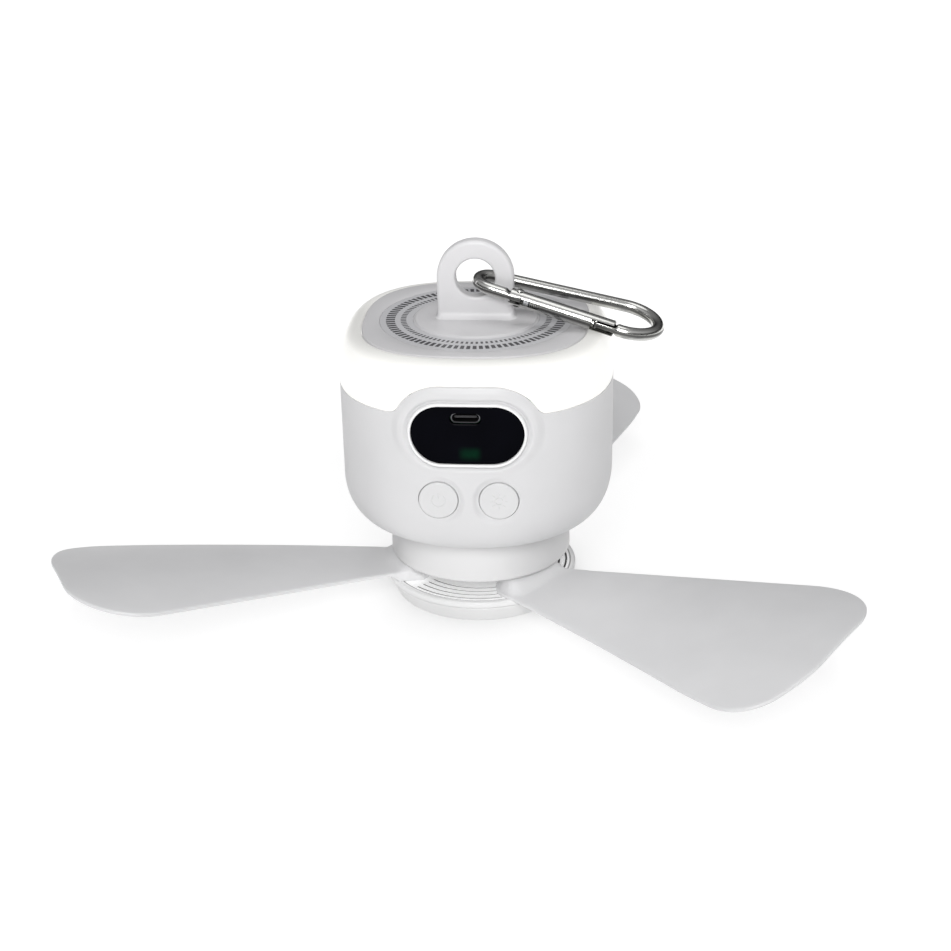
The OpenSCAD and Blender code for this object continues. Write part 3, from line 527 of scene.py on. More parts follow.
def dished(x, y, z):
    # the soft hollow round each button
    for side in (-1, 1):
        d = np.hypot(x - side * panel["buttonAcross"], z - panel["buttonHeight"])
        outer = panel["buttonRadius"] + panel["dishReach"]
        share = 1 - stepUp(d, outer - 1.2, outer + 0.9)
        y = np.where(y < 0, y + share * np.maximum(-y - panel["dishPlane"], 0), y)
    return y


housingPlan = {"fineEdge": 44, "fineStep": 0.34, "coarseStep": 2.4, "wallRows": 125,
               "bowlRows": 34, "lip": 0.32, "shaftHole": 7.0}


def makeHousing():
    a = fineAngles(housingPlan["fineEdge"], housingPlan["fineStep"], housingPlan["coarseStep"])
    wall = bodyShape["wall"]
    rows = []

    def ringAt(width, square, z, relief=False, sink=0.0):
        x, y = fromPlan(a, width, square)
        z = z + 0 * x
        nx, ny = planNormal(x, y, square)
        out = (panelRelief(x, y, z) if relief else 0) - sink
        x, y = x + nx * out, y + ny * out
        if relief:
            y = dished(x, y, z)
        rows.append(np.stack([x, y, z], 1))

    for r in (housingPlan["shaftHole"], 18.0, bodyShape["footRadius"] - 0.8):
        ringAt(r, 2.0, underside)
    for t in np.linspace(0, 1, housingPlan["bowlRows"]) ** 1.6:
        z = underside + 0.02 + (bowlHeight - 0.02) * t
        ringAt(*widthAt(z), z, True)
    x0, y0 = fromPlan(a, halfWidth, squareness)
    top = np.where(y0 < 0, seamHeight(x0), seam)
    lip = housingPlan["lip"]
    for t in np.linspace(0, 1, housingPlan["wallRows"])[1:]:
        ringAt(halfWidth, squareness, bowlTop + (top - lip - bowlTop) * t, True)
    for c, s in arcSteps(25, 50, 72, 90):
        ringAt(halfWidth, squareness, top - lip + lip * s, True, lip * (1 - c))
    for t in (1, 0.6, 0.3, 0.0):
        ringAt(halfWidth - wall, squareness, bowlTop + (top - bowlTop) * t)
    for z in (43.0, 40.0, 37.0, 34.0, 32.0, 31.0):
        width, square = widthAt(z)
        ringAt(width - wall, square, z)
    ringAt(housingPlan["shaftHole"], 2.0, underside + wall)
    piece = pieceFrom("housingShell", np.concatenate(rows), loopFaces(len(rows), len(a), True),
                      "whiteShell", "body", "white_shell", ["housing"])
    opening = slotOutline(windowHalf, windowRadius + 0.35, (0, windowMiddle), 40)
    cutWith(piece, *prism(opening, -60, -30, "y"))
    reach = panel["buttonRadius"] + panel["buttonGap"]
    for side in (-1, 1):
        centre = (side * panel["buttonAcross"], 0, panel["buttonHeight"])
        cutWith(piece, *spun([(reach, -50), (reach, -36)], 96, False, "y", centre))


def makeWindowRim():
    # raised edge that the window sits in, the housing's white with a painted highlight: a lighter tint
    # than the housing
    half, foot, rise = panel["rimWidth"] / 2, -1.3, panel["rimRise"] - 0.4
    section = [(0, foot), (0, rise)]
    for i in range(1, 8):
        s = pi * (1 - i / 8)
        section.append((half + half * cos(s), rise + 0.4 * sin(s)))
    section += [(2 * half, rise), (2 * half, foot)]
    points = []
    for out, height in section:
        for x, z in slotOutline(windowHalf, windowRadius + out, (0, windowMiddle), 48):
            points.append((x, -(float(frontDepth(x)) + height), z))
    faces = loopFaces(len(section), len(points) // len(section), True)
    pieceFrom("windowRim", points, faces, "rimPaintedHighlight", "body", "white_shell")


makeHousing()
makeWindowRim()
print("housing made")


lightPlan = {
    "rows": 46, "lip": 0.3, "wall": 1.8, "seat": 36.42, "ledge": 34.35, "rimTop": 94.52,
    # dim, shadeFrom and shadeTo set the painted shade close under the cap edge
    "seatLevel": 92.25, "underLedge": 91.0, "glow": 0.53, "dim": 0.22, "patch": 45.0,
    "shadeFrom": 91.9, "shadeTo": 94.7, "tint": (1.0, 0.995, 0.975),
}


def glowingFinish():
    # near white where the light shines through, with painted shade in patches close under the cap edge
    p = lightPlan
    made = finishOf("lightDiffuser", (0.5, 0.497, 0.478), 0.4, vary=0.01)
    tree = made.node_tree
    # painted shade: the glow drops towards dim near the top, just under the cap edge
    high = faded(tree, axesOf(tree)["Z"], p["shadeFrom"] * mm, p["shadeTo"] * mm)
    uneven = mapped(tree, cloudy(tree, p["patch"], 0.0), 0.6, 1.15)
    shade = mathNode(tree, "MULTIPLY", high, uneven, True)
    return glowBy(made, p["tint"], mapped(tree, shade, p["glow"], p["dim"]))


materials["lightDiffuser"] = glowingFinish()


def makeDiffuser():
    p, lip, gap, square = lightPlan, lightPlan["lip"], bodyShape["seamGap"], bodyShape["capSquareness"]
    a = fineAngles(housingPlan["fineEdge"], 0.6, housingPlan["coarseStep"])
    x0, y0 = fromPlan(a, halfWidth, squareness)
    low = np.where(y0 < 0, seamHeight(x0, gap), seam + gap)
    high = bodyShape["shoulderStart"] + bodyShape["shoulderHeight"] * sin(radians(82))
    rings = []
    for c, s in arcSteps(0, 22, 45, 68, 90):
        z = low + lip * (1 - c)
        width, blunt = widthAt(z)
        rings.append((width - lip * (1 - s), blunt, z))
    for t in np.linspace(0, 1, p["rows"])[1:]:
        z = low + lip + (high - low - lip) * (0.45 * t + 0.55 * sin(t * pi / 2))
        rings.append((*widthAt(z), z))
    rings += [(37.55, 2.73, p["rimTop"]), (37.2, 2.73, p["rimTop"] + 0.02),
              (p["seat"] + 0.25, square, p["rimTop"] - 0.05), (p["seat"], square, p["rimTop"] - 0.3),
              (p["seat"], square, p["seatLevel"]), (p["ledge"], square, p["seatLevel"]),
              (p["ledge"], square, p["underLedge"])]
    for share in (0.8, 0.6, 0.4, 0.2, 0.0):
        z = low + (p["underLedge"] - 0.4 - low) * share
        width, blunt = widthAt(z + 1.2 * share)
        rings.append((width - p["wall"], blunt, z))
    pieceFrom("lightDiffuser", planRings(a, rings), loopFaces(len(rings), len(a), True),
              "lightDiffuser", "body", "white_diffuser", ["light_diffuser"])


makeDiffuser()
print("light ring made")

capPlan = {
    "top": 94.8, "bottom": 92.3, "edge": 0.5, "crownRadius": 19.6, "crownRise": 0.6,
    "labelInner": 20.35, "labelOuter": 31.05, "labelFloor": 94.44,
    "loopRadius": 12.3, "archHeight": 108.62, "holeHeight": 108.65, "holeRadius": 6.3,
    "loopDepth": 5.2, "edgeRound": 1.25, "holeRound": 0.9, "archFoot": 95.0,
    "footFillet": 2.4, "footSide": 0.45, "columns": 192,
}


def makeCapPlate():
    a = np.linspace(0, turn, capPlan["columns"], endpoint=False)
    half, square = bodyShape["capHalf"], bodyShape["capSquareness"]
    top, edge, bottom, outer, inner, floor, crown, rise = (capPlan[key] for key in (
        "top", "edge", "bottom", "labelOuter", "labelInner", "labelFloor", "crownRadius", "crownRise"))
    rings = [(6.0, 2.0, bottom), (half - 0.1, square, bottom), (half, square, bottom + 0.1)]
    rings += [(half - edge * (1 - c), square, top - edge + edge * s)
              for c, s in arcSteps(0, 22, 45, 68, 90)]
    rings += [(33.4, 2.4, top), (outer + 0.25, 2.0, top), (outer + 0.07, 2.0, top - 0.07),
              (outer, 2.0, floor), (inner, 2.0, floor), (inner - 0.05, 2.0, top - 0.06),
              (inner - 0.15, 2.0, top)]
    rings += [(crown + r, 2.06, top + z) for r, z in (
        (0.42, 0), (0.3, 0.04), (0.16, 0.16), (0.05, rise - 0.2), (-0.08, rise - 0.07),
        (-0.3, rise), (-4, rise), (-9, rise), (-16, rise))]
    return planRings(a, rings), cappedFaces(len(rings), len(a))


def roundedBox(halfX, halfY, corner, z, steps=8):
    ring = []
    for quarter, (sx, sy) in enumerate(((1, 1), (-1, 1), (-1, -1), (1, -1))):
        for i in range(steps + 1):
            t = pi / 2 * (quarter + i / steps)
            ring.append((sx * (halfX - corner) + corner * cos(t),
                         sy * (halfY - corner) + corner * sin(t), z))
    return ring


def makeLoopFoot():
    # a soft fillet where the loop grows out of the cap
    p, fillet, inset = capPlan, capPlan["footFillet"], 0.02
    base = p["top"] + p["crownRise"] - 0.05
    levels = [(-0.5, fillet)]
    for i in range(9):
        h = fillet * (1 - cos(pi / 2 * i / 8))
        levels.append((h, fillet - sqrt(max(0, fillet ** 2 - (fillet - h) ** 2))))
    levels.append((fillet + 0.3, -0.12))
    points = []
    for h, out in levels:
        points += roundedBox(p["loopRadius"] - inset + out * p["footSide"],
                             p["loopDepth"] / 2 - inset + out, p["edgeRound"] + out, base + h)
    return points, cappedFaces(len(levels), len(points) // len(levels))


def makeLoopArch():
    # outline and hole share one set of directions, so the faces between them stay even
    half, low, high = capPlan["loopDepth"] / 2, capPlan["archFoot"], capPlan["archHeight"]
    radius, edge, soft = capPlan["loopRadius"], capPlan["edgeRound"], capPlan["holeRound"]
    centre, hole = np.array([0, high]), np.array([0, capPlan["holeHeight"]])
    outline = [(radius * cos(pi * i / 72), high + radius * sin(pi * i / 72))
               for i in range(73)]
    outline += [(-radius, high - (high - low) * i / 20) for i in range(1, 20)]
    outline += [(-radius + 2 * radius * i / 20, low) for i in range(21)]
    outline += [(radius, low + (high - low) * i / 20) for i in range(1, 20)]

    def insetBy(p, d):
        p = np.array(p)
        if p[1] > high:
            return centre + (p - centre) * (radius - d) / radius
        return np.array([p[0] - copysign(d, p[0]) if abs(p[0]) > radius - 0.01 else p[0], p[1]])

    def holeAt(p, d):
        away = np.array(p) - hole
        return hole + away / np.linalg.norm(away) * (capPlan["holeRadius"] + d)

    def ringOf(shape, depth):
        return [(q[0], -depth, q[1]) for q in map(shape, outline)]

    rings = []
    for c, s in arcSteps(*np.linspace(0, 90, 7)):
        rings.append(ringOf(lambda p: insetBy(p, edge * (1 - c)), half - edge + edge * s))
    for share in (0.33, 0.66):
        rings.append(ringOf(lambda p: insetBy(p, edge) * (1 - share) + holeAt(p, soft) * share, half))
    for c, s in arcSteps(*np.linspace(90, 0, 7)):
        rings.append(ringOf(lambda p: holeAt(p, soft * (1 - c)), half - soft + soft * s))
    rings += [[(x, -y, z) for x, y, z in ring] for ring in rings[::-1]]
    return [p for ring in rings for p in ring], loopFaces(len(rings), len(outline), True)


def makeCap():
    pieceFrom("capPlate", *makeCapPlate(), "capShell", "body", "grey_cap", ["top_cap"], 38)
    # the loop takes the cap's grey lightened as painted light
    pieceFrom("hangingLoop", *joined(makeLoopFoot(), makeLoopArch()), "loopShell", "body", "grey_cap",
              (), 50)


makeCap()
print("cap and loop made")


# each row of marks: inner and outer radius, number of marks and how full they are
labelPlan = {"tint": (0.54, 0.54, 0.555), "ink": (0.05, 0.05, 0.055),
             "rows": [(22.5, 24.3, 96, 0.5), (26.1, 29.0, 90, 0.62)]}


def labelFinish():
    # two plain graduated rings, no words
    made = finishOf("labelFilm", labelPlan["tint"], 0.36, vary=0.015, bump=0.002)
    tree = made.node_tree

    def doMath(operation, first, second=None, clamp=False):
        return mathNode(tree, operation, first, second, clamp)

    axes = axesOf(tree)
    x, y = axes["X"], axes["Y"]
    radius = doMath("SQRT", doMath("ADD", doMath("MULTIPLY", x, x), doMath("MULTIPLY", y, y)))
    angle = doMath("DIVIDE", doMath("ARCTAN2", y, x), turn)
    rows = []
    for inner, outer, count, share in labelPlan["rows"]:
        mark = doMath("LESS_THAN", doMath("FRACT", doMath("MULTIPLY", angle, count)), share)
        band = doMath("MULTIPLY", doMath("GREATER_THAN", radius, inner * mm),
                      doMath("LESS_THAN", radius, outer * mm))
        rows.append(doMath("MULTIPLY", mark, band))
    tintBy(made, doMath("ADD", *rows, True), labelPlan["ink"])
    return made


materials["labelFilm"] = labelFinish()

windowPlan = {"inset": 0.06, "edge": 0.35, "depth": 1.3, "rows": 12, "across": 40,
              "port": {"x": -0.4, "z": 77.7, "halfLength": 2.9, "radius": 1.9},
              "display": {"x": 0.9, "z": 66.3, "halfWidth": 2.9, "halfHeight": 1.7,
                          "fadeOut": 1.2, "fadeIn": 1.6, "tint": (0.0, 0.22, 0.07)}}


def windowFinish():
    # black, with a faint green patch where the digits lie behind
    made = finishOf("smokedWindow", (0.0012, 0.0013, 0.0028), 0.07, vary=0.3, bump=0.0008,
                    roughVary=0.02, specular=0.025)
    tree, spot = made.node_tree, windowPlan["display"]
    axes = axesOf(tree)
    fades = []
    for axis, middle, half in (("X", "x", "halfWidth"), ("Z", "z", "halfHeight")):
        away = mathNode(tree, "ABSOLUTE", mathNode(tree, "SUBTRACT", axes[axis], spot[middle] * mm))
        fades.append(faded(tree, away, (spot[half] + spot["fadeOut"]) * mm,
                           (spot[half] - spot["fadeIn"]) * mm))
    uneven = mapped(tree, cloudy(tree, 260.0), 0.04, 0.17)
    return glowBy(made, spot["tint"],
                  mathNode(tree, "MULTIPLY", mathNode(tree, "MULTIPLY", *fades), uneven))


materials["smokedWindow"] = windowFinish()


def makeWindow():
    p, radius = windowPlan, windowRadius - windowPlan["inset"]
    outline = slotOutline(windowHalf, radius, (0, windowMiddle), 48, p["across"])

    def ringAt(inset, out):
        ring = []
        for x, z in outline:
            sx = max(-windowHalf, min(windowHalf, x))
            d = (radius - inset) / radius
            px, pz = sx + (x - sx) * d, windowMiddle + (z - windowMiddle) * d
            ring.append((px, -(float(frontDepth(px)) + out), pz))
        return ring

    rise, edge = panel["windowRise"], p["edge"]
    rings = [ringAt(radius * share, -p["depth"]) for share in (1.0, 0.5, 0.0)]
    rings += [ringAt(edge * (1 - c), rise - edge + edge * s) for c, s in arcSteps(0, 30, 60, 90)]
    rings += [ringAt(edge + (radius - edge) * share, rise) for share in np.linspace(0, 1, p["rows"])[1:]]
    piece = pieceFrom("smokedWindow", [q for ring in rings for q in ring],
                      loopFaces(len(rings), len(outline)), "smokedWindow", "body", "black_window",
                      ["display_window"])
    port = p["port"]
    hole = slotOutline(port["halfLength"], port["radius"], (port["x"], port["z"]), 16)
    cutWith(piece, *prism(hole, -50, -38, "y"))


makeWindow()
print("window made")

buttonPlan = {"face": -43.5, "edge": 0.42, "flange": -39.8, "flangeReach": 1.0, "flangeDepth": 0.9,
              "stem": -38.0, "stemRadius": 1.6, "raise": 0.1, "sink": 0.06, "lineRadius": 0.2}


def symbolStroke(path, centre):
    # a low rounded line that stands a little out of the button face
    p = buttonPlan
    path = [(centre[0] + x, p["face"] + p["sink"], centre[2] + z) for x, z in path]
    section = [(p["lineRadius"] * c, -(p["raise"] + p["sink"]) * s) for c, s in circle(8)]
    return tube(path, [section] * len(path), (0, 1, 0))


def arcPath(radius, start, end, steps=24):
    return [(radius * s, radius * c) for c, s in arcSteps(*np.linspace(start, end, steps + 1))]


def makeButton(side, name, node, body, strokes):
    p, r, face, edge = buttonPlan, panel["buttonRadius"], buttonPlan["face"], buttonPlan["edge"]
    profile = [(0.02, face + 0.05), (2.5, face + 0.04), (4.6, face + 0.02)]
    profile += [(r - edge + edge * c, face + edge - edge * s) for c, s in arcSteps(90, 65, 40, 18, 0)]
    wide, back = r + p["flangeReach"], p["flange"] + p["flangeDepth"]
    profile += [(r, p["flange"]), (wide, p["flange"]), (wide, back), (p["stemRadius"], back),
                (p["stemRadius"], p["stem"]), (0.02, p["stem"])]
    centre = (side * panel["buttonAcross"], 0, panel["buttonHeight"])
    parts = [spun(profile, 96, False, "y", centre)] + [symbolStroke(path, centre) for path in strokes]
    pieceFrom(name, *joined(*parts), "buttonShell", body, "white_button", [node])


def makeButtons():
    power = [arcPath(2.1, 40, 320), [(0, 0.7), (0, 1.6), (0, 2.6)]]
    lamp = [arcPath(1.15, 0, 352)] + [[(k * s, k * c) for k in (1.8, 2.2, 2.7)] for c, s in circle(8)]
    makeButton(-1, "powerButton", "power_button", "power_key", power)
    makeButton(1, "lightButton", "light_button", "light_key", lamp)


makeButtons()
print("buttons made")

coverPlan = {"bottom": 14.5, "bottomRadius": 30.0, "topRadius": 29.6, "opening": 22.85, "wall": 1.8,
             "top": 28.78, "lip": 1.5, "round": 0.9, "steps": 160}


def makeMotorCover():
    p = coverPlan
    low, top, foot, neck = p["bottom"], p["top"], p["bottomRadius"], p["topRadius"]
    profile = filletCorners([
        (p["opening"], low + p["lip"], 0), (p["opening"], low, 0.35), (foot - 0.02, low, p["round"]),
        (foot - 0.02, low + 2.0, 0.6), (neck, top, 0.1), (neck - p["wall"], top, 0),
        (foot - p["wall"], low + p["lip"], 0)])
    pieceFrom("motorCover", *spun(profile, p["steps"]), "neckShell", "body", "white_shell",
              ["motor_cover"])


rotorPlan = {
    "hubRadius": 32.0, "bottom": 6.2, "top": 8.3, "edge": 0.7, "grooveOuter": 30.5, "grooveInner": 29.95,
    "grooveDepth": 0.4, "bossRadius": 7.0, "bossTop": 14.68, "shaft": 2.0, "steps": 192,
    "firstBlade": 187.0, "ventOuter": 29.2, "ventPitch": 2.4, "ventWidth": 0.75, "ventCount": 4,
    "ventFrom": 40.0, "ventTo": 101.0, "skirtOuter": 28.7, "skirtInner": 27.2, "skirtBottom": 4.6,
}


def ventShape(radius, start, end):
    # a curved slot with round ends, tall enough to go through the hub disc
    width = rotorPlan["ventWidth"] / 2
    trim = degrees(width / radius)
    start, end, steps = start + trim, end - trim, 24

    def side(r, fromAngle, toAngle):
        return [(r * c, r * s) for c, s in arcSteps(*np.linspace(fromAngle, toAngle, steps + 1))]

    def cap(angle, swing):
        (c, s), = arcSteps(angle)
        return [(radius * c + width * a, radius * s + width * b)
                for a, b in arcSteps(*(angle + swing + 180 * i / 8 for i in range(1, 8)))]

    outline = side(radius + width, start, end) + cap(end, 0)
    outline += side(radius - width, end, start) + cap(start, 180)
    return prism(outline, rotorPlan["bottom"] - 1, rotorPlan["top"] + 1, "z")


def paintedGlowFinish(name, tint, rough, plan):
    # painted light: a glow that grows towards the hub, standing in for light where the neck and body shade
    # the hub and the blade roots
    made = finishOf(name, tint, rough, vary=0.018, bump=0.003)
    tree = made.node_tree
    strength = faded(tree, reachOf(tree), plan["ends"] * mm, plan["starts"] * mm, 0.0, plan["glow"])
    if "level" in plan:
        # painted shade: below the top face the slot walls get no glow and are tinted darker
        above = faded(tree, axesOf(tree)["Z"], (plan["level"] - plan["wallFade"]) * mm,
                      (plan["level"] - 0.05) * mm)
        inside = mathNode(tree, "DIVIDE", strength, plan["glow"], True)
        below = mathNode(tree, "SUBTRACT", 1.0, above, True)
        strength = mathNode(tree, "MULTIPLY", strength, above)
        tintBy(made, mathNode(tree, "MULTIPLY", inside, below), plan["paintedSlotShade"])
    return glowBy(made, (1, 1, 1), strength)


# the hub disc has a lighter tint than the base cap and a painted glow under the neck; the blades have a
# painted glow towards their roots
materials["hubShell"] = paintedGlowFinish("hubShell", (0.8, 0.8, 0.8), 0.4, {
    "starts": 30.5, "ends": 33.0, "glow": 0.27, "level": rotorPlan["top"], "wallFade": 0.35,
    "paintedSlotShade": (0.38, 0.38, 0.38)})
materials["bladeShell"] = paintedGlowFinish("bladeShell", (0.66, 0.66, 0.667), 0.38, {
    "starts": 26.0, "ends": 88.0, "glow": 0.12})


def makeHub():
    p = rotorPlan
    low, top, floor = p["bottom"], p["top"], p["top"] - p["grooveDepth"]
    profile = filletCorners([
        (p["shaft"], p["bossTop"], 0), (p["shaft"], low, 0), (p["skirtInner"], low, 0),
        (p["skirtInner"], p["skirtBottom"], 0.1), (p["skirtOuter"], p["skirtBottom"], 0.2),
        (p["skirtOuter"], low, 0), (p["hubRadius"] - 0.02, low, 0.45),
        (p["hubRadius"] - 0.02, top, p["edge"]), (p["grooveOuter"], top, 0.15),
        (p["grooveOuter"] - 0.05, floor, 0.12), (p["grooveInner"] + 0.05, floor, 0.12),
        (p["grooveInner"], top, 0.15), (p["bossRadius"] + 0.9, top, 0.8),
        (p["bossRadius"], p["bossTop"], 0)])
    piece = pieceFrom("hubDisc", *spun(profile, p["steps"]), "hubShell", "rotor", "white_rotor",
                      ["rotor_hub"])
    slots = []
    for blade in range(3):
        base = p["firstBlade"] + 120 * blade
        for k in range(p["ventCount"]):
            radius = p["ventOuter"] - p["ventPitch"] * k - p["ventWidth"] / 2
            slots.append(ventShape(radius, base + p["ventFrom"], base + p["ventTo"]))
    cutWith(piece, *joined(*slots))


baseProfile = [(0.02, 0.0, 0), (28.9, 0.0, 1.0), (29.4, 1.3, 1.2), (31.15, 5.3, 0.5), (30.8, 6.18, 0.3),
               (28.8, 6.18, 0), (28.8, 4.5, 0), (27.5, 1.8, 0), (0.02, 1.8, 0)]


def makeBase():
    pieceFrom("baseCap", *spun(filletCorners(baseProfile), rotorPlan["steps"], False), "rotorShell",
              "rotor", "white_rotor", ["base_cap"])


makeMotorCover()
makeHub()
makeBase()
print("neck, hub and base made")

# Blade outline in its own frame, x outward and y across; the third number rounds the corner
bladePlan = {
    "corners": [(118.1, -5.7, 148), (139.6, -3.2, 15.2), (141.2, 20.4, 45), (127.1, 59.6, 22.2),
                (106.2, 62.2, 20.7)],
    "rootLow": (19.0, -9.2), "rootHigh": (19.0, 9.4),
    "rootReach": [(17.9, 12.6), (19.5, 14.6), (21.5, 15.2), (27.0, 15.3), (30.5, 16.7), (36.0, 20.0)],
    "rootBend": [(20.0, 15.2, 2.0), (17.7, 12.4, 2.5), (19.1, 1.0, 30), (18.6, -6.4, 2.0)],
    "lowReach": 7.9, "lowSwell": 1.9, "lowAt": 26.5, "lowSpread": 5.5, "lowTo": 45,
    "start": 30, "lift": 1.9, "pitch": 0.104, "tilt": 0.126, "twist": 0.174 / 80,
    "curl": 4.26 / 40 ** 2, "droop": 3.39 / 100 ** 2, "hubFrom": 31.3, "hubTo": 34.5,
    "spineFrom": 24.0, "spineTo": 118.0, "spineSlope": 0.23, "spineStart": 1.5,
    "thickness": 1.3, "edgeSoft": 0.65, "stations": 58,
}
bossPlan = {
    "fromAngle": -9.0, "toAngle": 27.0, "inner": 22.9, "outer": 27.6, "spread": 3.75, "rise": 5.05,
    "ramp": 11.0, "blend": 0.9,
}


def bladeLift(u, v):
    # height of the blade halfway through its thickness
    p, out = bladePlan, u - bladePlan["start"]
    return (rotorPlan["top"] + p["lift"] + p["pitch"] * out + p["tilt"] * v + p["twist"] * out * v
            - p["curl"] * v ** 2 - p["droop"] * out ** 2)


def bossLift(u, v):
    # a rounded mound round the hub edge that runs down onto the blade
    p = bossPlan
    r, t = np.hypot(u, v), np.degrees(np.arctan2(v, u))
    past = np.maximum(t - p["toAngle"], 0) + np.maximum(p["fromAngle"] - t, 0)
    aside = np.radians(past) * r / p["spread"]
    inward = np.maximum(p["inner"] - r, 0) / p["spread"]
    outward = np.maximum(r - p["outer"], 0) / p["ramp"]
    d = np.clip(np.hypot(aside, inward + outward), 0, 1)
    dome = np.sqrt(np.clip(1 - d ** 2, 0, 1))
    slope = (1 - d) ** 2 * (1 + 2 * d)
    share = stepUp(outward / np.maximum(inward + outward + aside, 1e-6), 0.1, 0.7)
    return rotorPlan["top"] + p["rise"] * (dome * (1 - share) + slope * share)


def softMax(a, b, soft):
    h = np.clip(0.5 + 0.5 * (a - b) / soft, 0, 1)
    return b * (1 - h) + a * h + soft * h * (1 - h)


def bladeOutline():
    # stations along both sides, an even run round the tip and a soft bend round the root
    p, spineTo = bladePlan, bladePlan["spineTo"]
    corners = [p["rootLow"] + (0,)] + p["corners"] + [p["rootHigh"] + (0,)]
    dense = np.array(filletCorners(corners, 40))
    tipAt = int(np.argmax(dense[:, 0]))
    lowSide, highSide = dense[:tipAt + 1], dense[tipAt:][::-1]
    stations = p["spineFrom"] + (spineTo - p["spineFrom"]) * np.linspace(0, 1, p["stations"]) ** 1.25
    low, high, swell = (np.interp(stations, side[:, 0], side[:, 1])
                        for side in (lowSide, highSide, np.array(p["rootReach"])))
    high = np.where(stations < p["rootReach"][-1][0], np.maximum(high, swell), high)
    swell = p["lowReach"] + p["lowSwell"] * np.exp(-((stations - p["lowAt"]) / p["lowSpread"]) ** 2)
    low = np.where(stations < p["lowTo"], np.minimum(low, -swell), low)
    past = np.concatenate([lowSide[lowSide[:, 0] > spineTo], highSide[highSide[:, 0] > spineTo][::-1]])
    steps = np.concatenate([[0], np.cumsum(np.hypot(*np.diff(past, axis=0).T))])
    even = np.linspace(0, steps[-1], 92)[1:-1]
    tip = np.stack([np.interp(even, steps, past[:, 0]), np.interp(even, steps, past[:, 1])], 1)
    ends = [(p["spineFrom"], float(side[0]), 0) for side in (high, low)]
    rootBend = filletCorners(ends[:1] + p["rootBend"] + ends[1:], 7)[1:-1]
    return np.concatenate([np.stack([stations, low], 1), tip, np.stack([stations, high], 1)[::-1],
                           np.array(rootBend)])


def makeBlade(number):
    p, half, soft = bladePlan, bladePlan["thickness"] / 2, bladePlan["edgeSoft"]
    edge = bladeOutline()
    along = np.clip(edge[:, 0], p["spineFrom"], p["spineTo"])
    spine = np.stack([along, (along - p["spineFrom"]) * p["spineSlope"] + p["spineStart"]], 1)
    length = np.hypot(*(edge - spine).T)
    # how far in from the edge each ring lies: first over the soft edge, then on to the spine
    insets = [soft * t / length for t in (0.0, 0.06, 0.2, 0.45, 0.75, 1.0)]
    insets += [soft / length + (1 - soft / length) * t
               for t in (0.07, 0.14, 0.22, 0.31, 0.42, 0.55, 0.7, 0.85, 1.0)]
    below, above = [], []
    for share in insets:
        u, v = (edge + (spine - edge) * share[:, None]).T
        depth = np.clip(share * length / soft, 0, 1)
        thick = half * np.sqrt(np.clip(1 - (1 - depth) ** 2, 0, 1))
        middle, boss = bladeLift(u, v), bossLift(u, v)
        z = np.where(boss > rotorPlan["top"] + 0.02, softMax(middle + thick, boss, bossPlan["blend"]),
                     middle + thick)
        above.append(np.stack([u, v, z], 1))
        onHub = 1 - stepUp(np.hypot(u, v), p["hubFrom"], p["hubTo"])
        z = (middle - thick) * (1 - onHub) + (rotorPlan["top"] + 0.01 + (half - thick)) * onHub
        below.append(np.stack([u, v, z], 1))
    rings = below[::-1] + above
    turned = radians(rotorPlan["firstBlade"] + 120 * (number - 1))
    c, s = cos(turned), sin(turned)
    points = [(x * c - y * s, x * s + y * c, z) for ring in rings for x, y, z in ring]
    pieceFrom(f"blade{number}", points, loopFaces(len(rings), len(edge)), "bladeShell", "rotor",
              "white_blade", [f"blade_{number}"], 50)


for number in (1, 2, 3):
    makeBlade(number)
print("blades made")


def placed(points, place):
    return [tuple(place @ Vector(p)) for p in points]


clipPlan = {
    "hang": (0.0, 0.0, 108.0), "slope": 14.3, "turned": -4.0, "lean": 3.5, "wire": 2.0,
    "small": 5.4, "wide": 10.4, "near": 6.5, "length": 43.0, "pin": 15.0, "gateRadius": 2.6,
    "gateWall": 0.45, "gateEnd": 46.5, "tongueEnd": 40.0, "tongue": 2.0, "gap": 0.3, "stop": 22.4,
    "slotHalf": 1.75, "catch": {"radius": 0.62, "across": -1.05, "half": 1.4},
}
clipTaper = asin((clipPlan["wide"] - clipPlan["small"]) / clipPlan["length"])
clipFrame = (Matrix.Translation(clipPlan["hang"]) @ turnedBy(clipPlan["turned"], "Z")
             @ turnedBy(clipPlan["slope"], "Y") @ turnedBy(clipPlan["lean"], "X"))


def legY(s):
    return -clipPlan["small"] / cos(clipTaper) - (s - clipPlan["near"]) * tan(clipTaper)


gateFrame = (clipFrame @ Matrix.Translation((clipPlan["pin"], legY(clipPlan["pin"]), 0))
             @ Matrix.Rotation(-clipTaper, 4, "Z"))


def inGate(s):
    return (s - clipPlan["pin"]) / cos(clipTaper)


def flatSection(wide, thick, square, steps=24):
    def blunt(c):
        return copysign(abs(c) ** (2 / square), c)

    return [(wide * blunt(c), thick * blunt(s)) for c, s in circle(steps)]


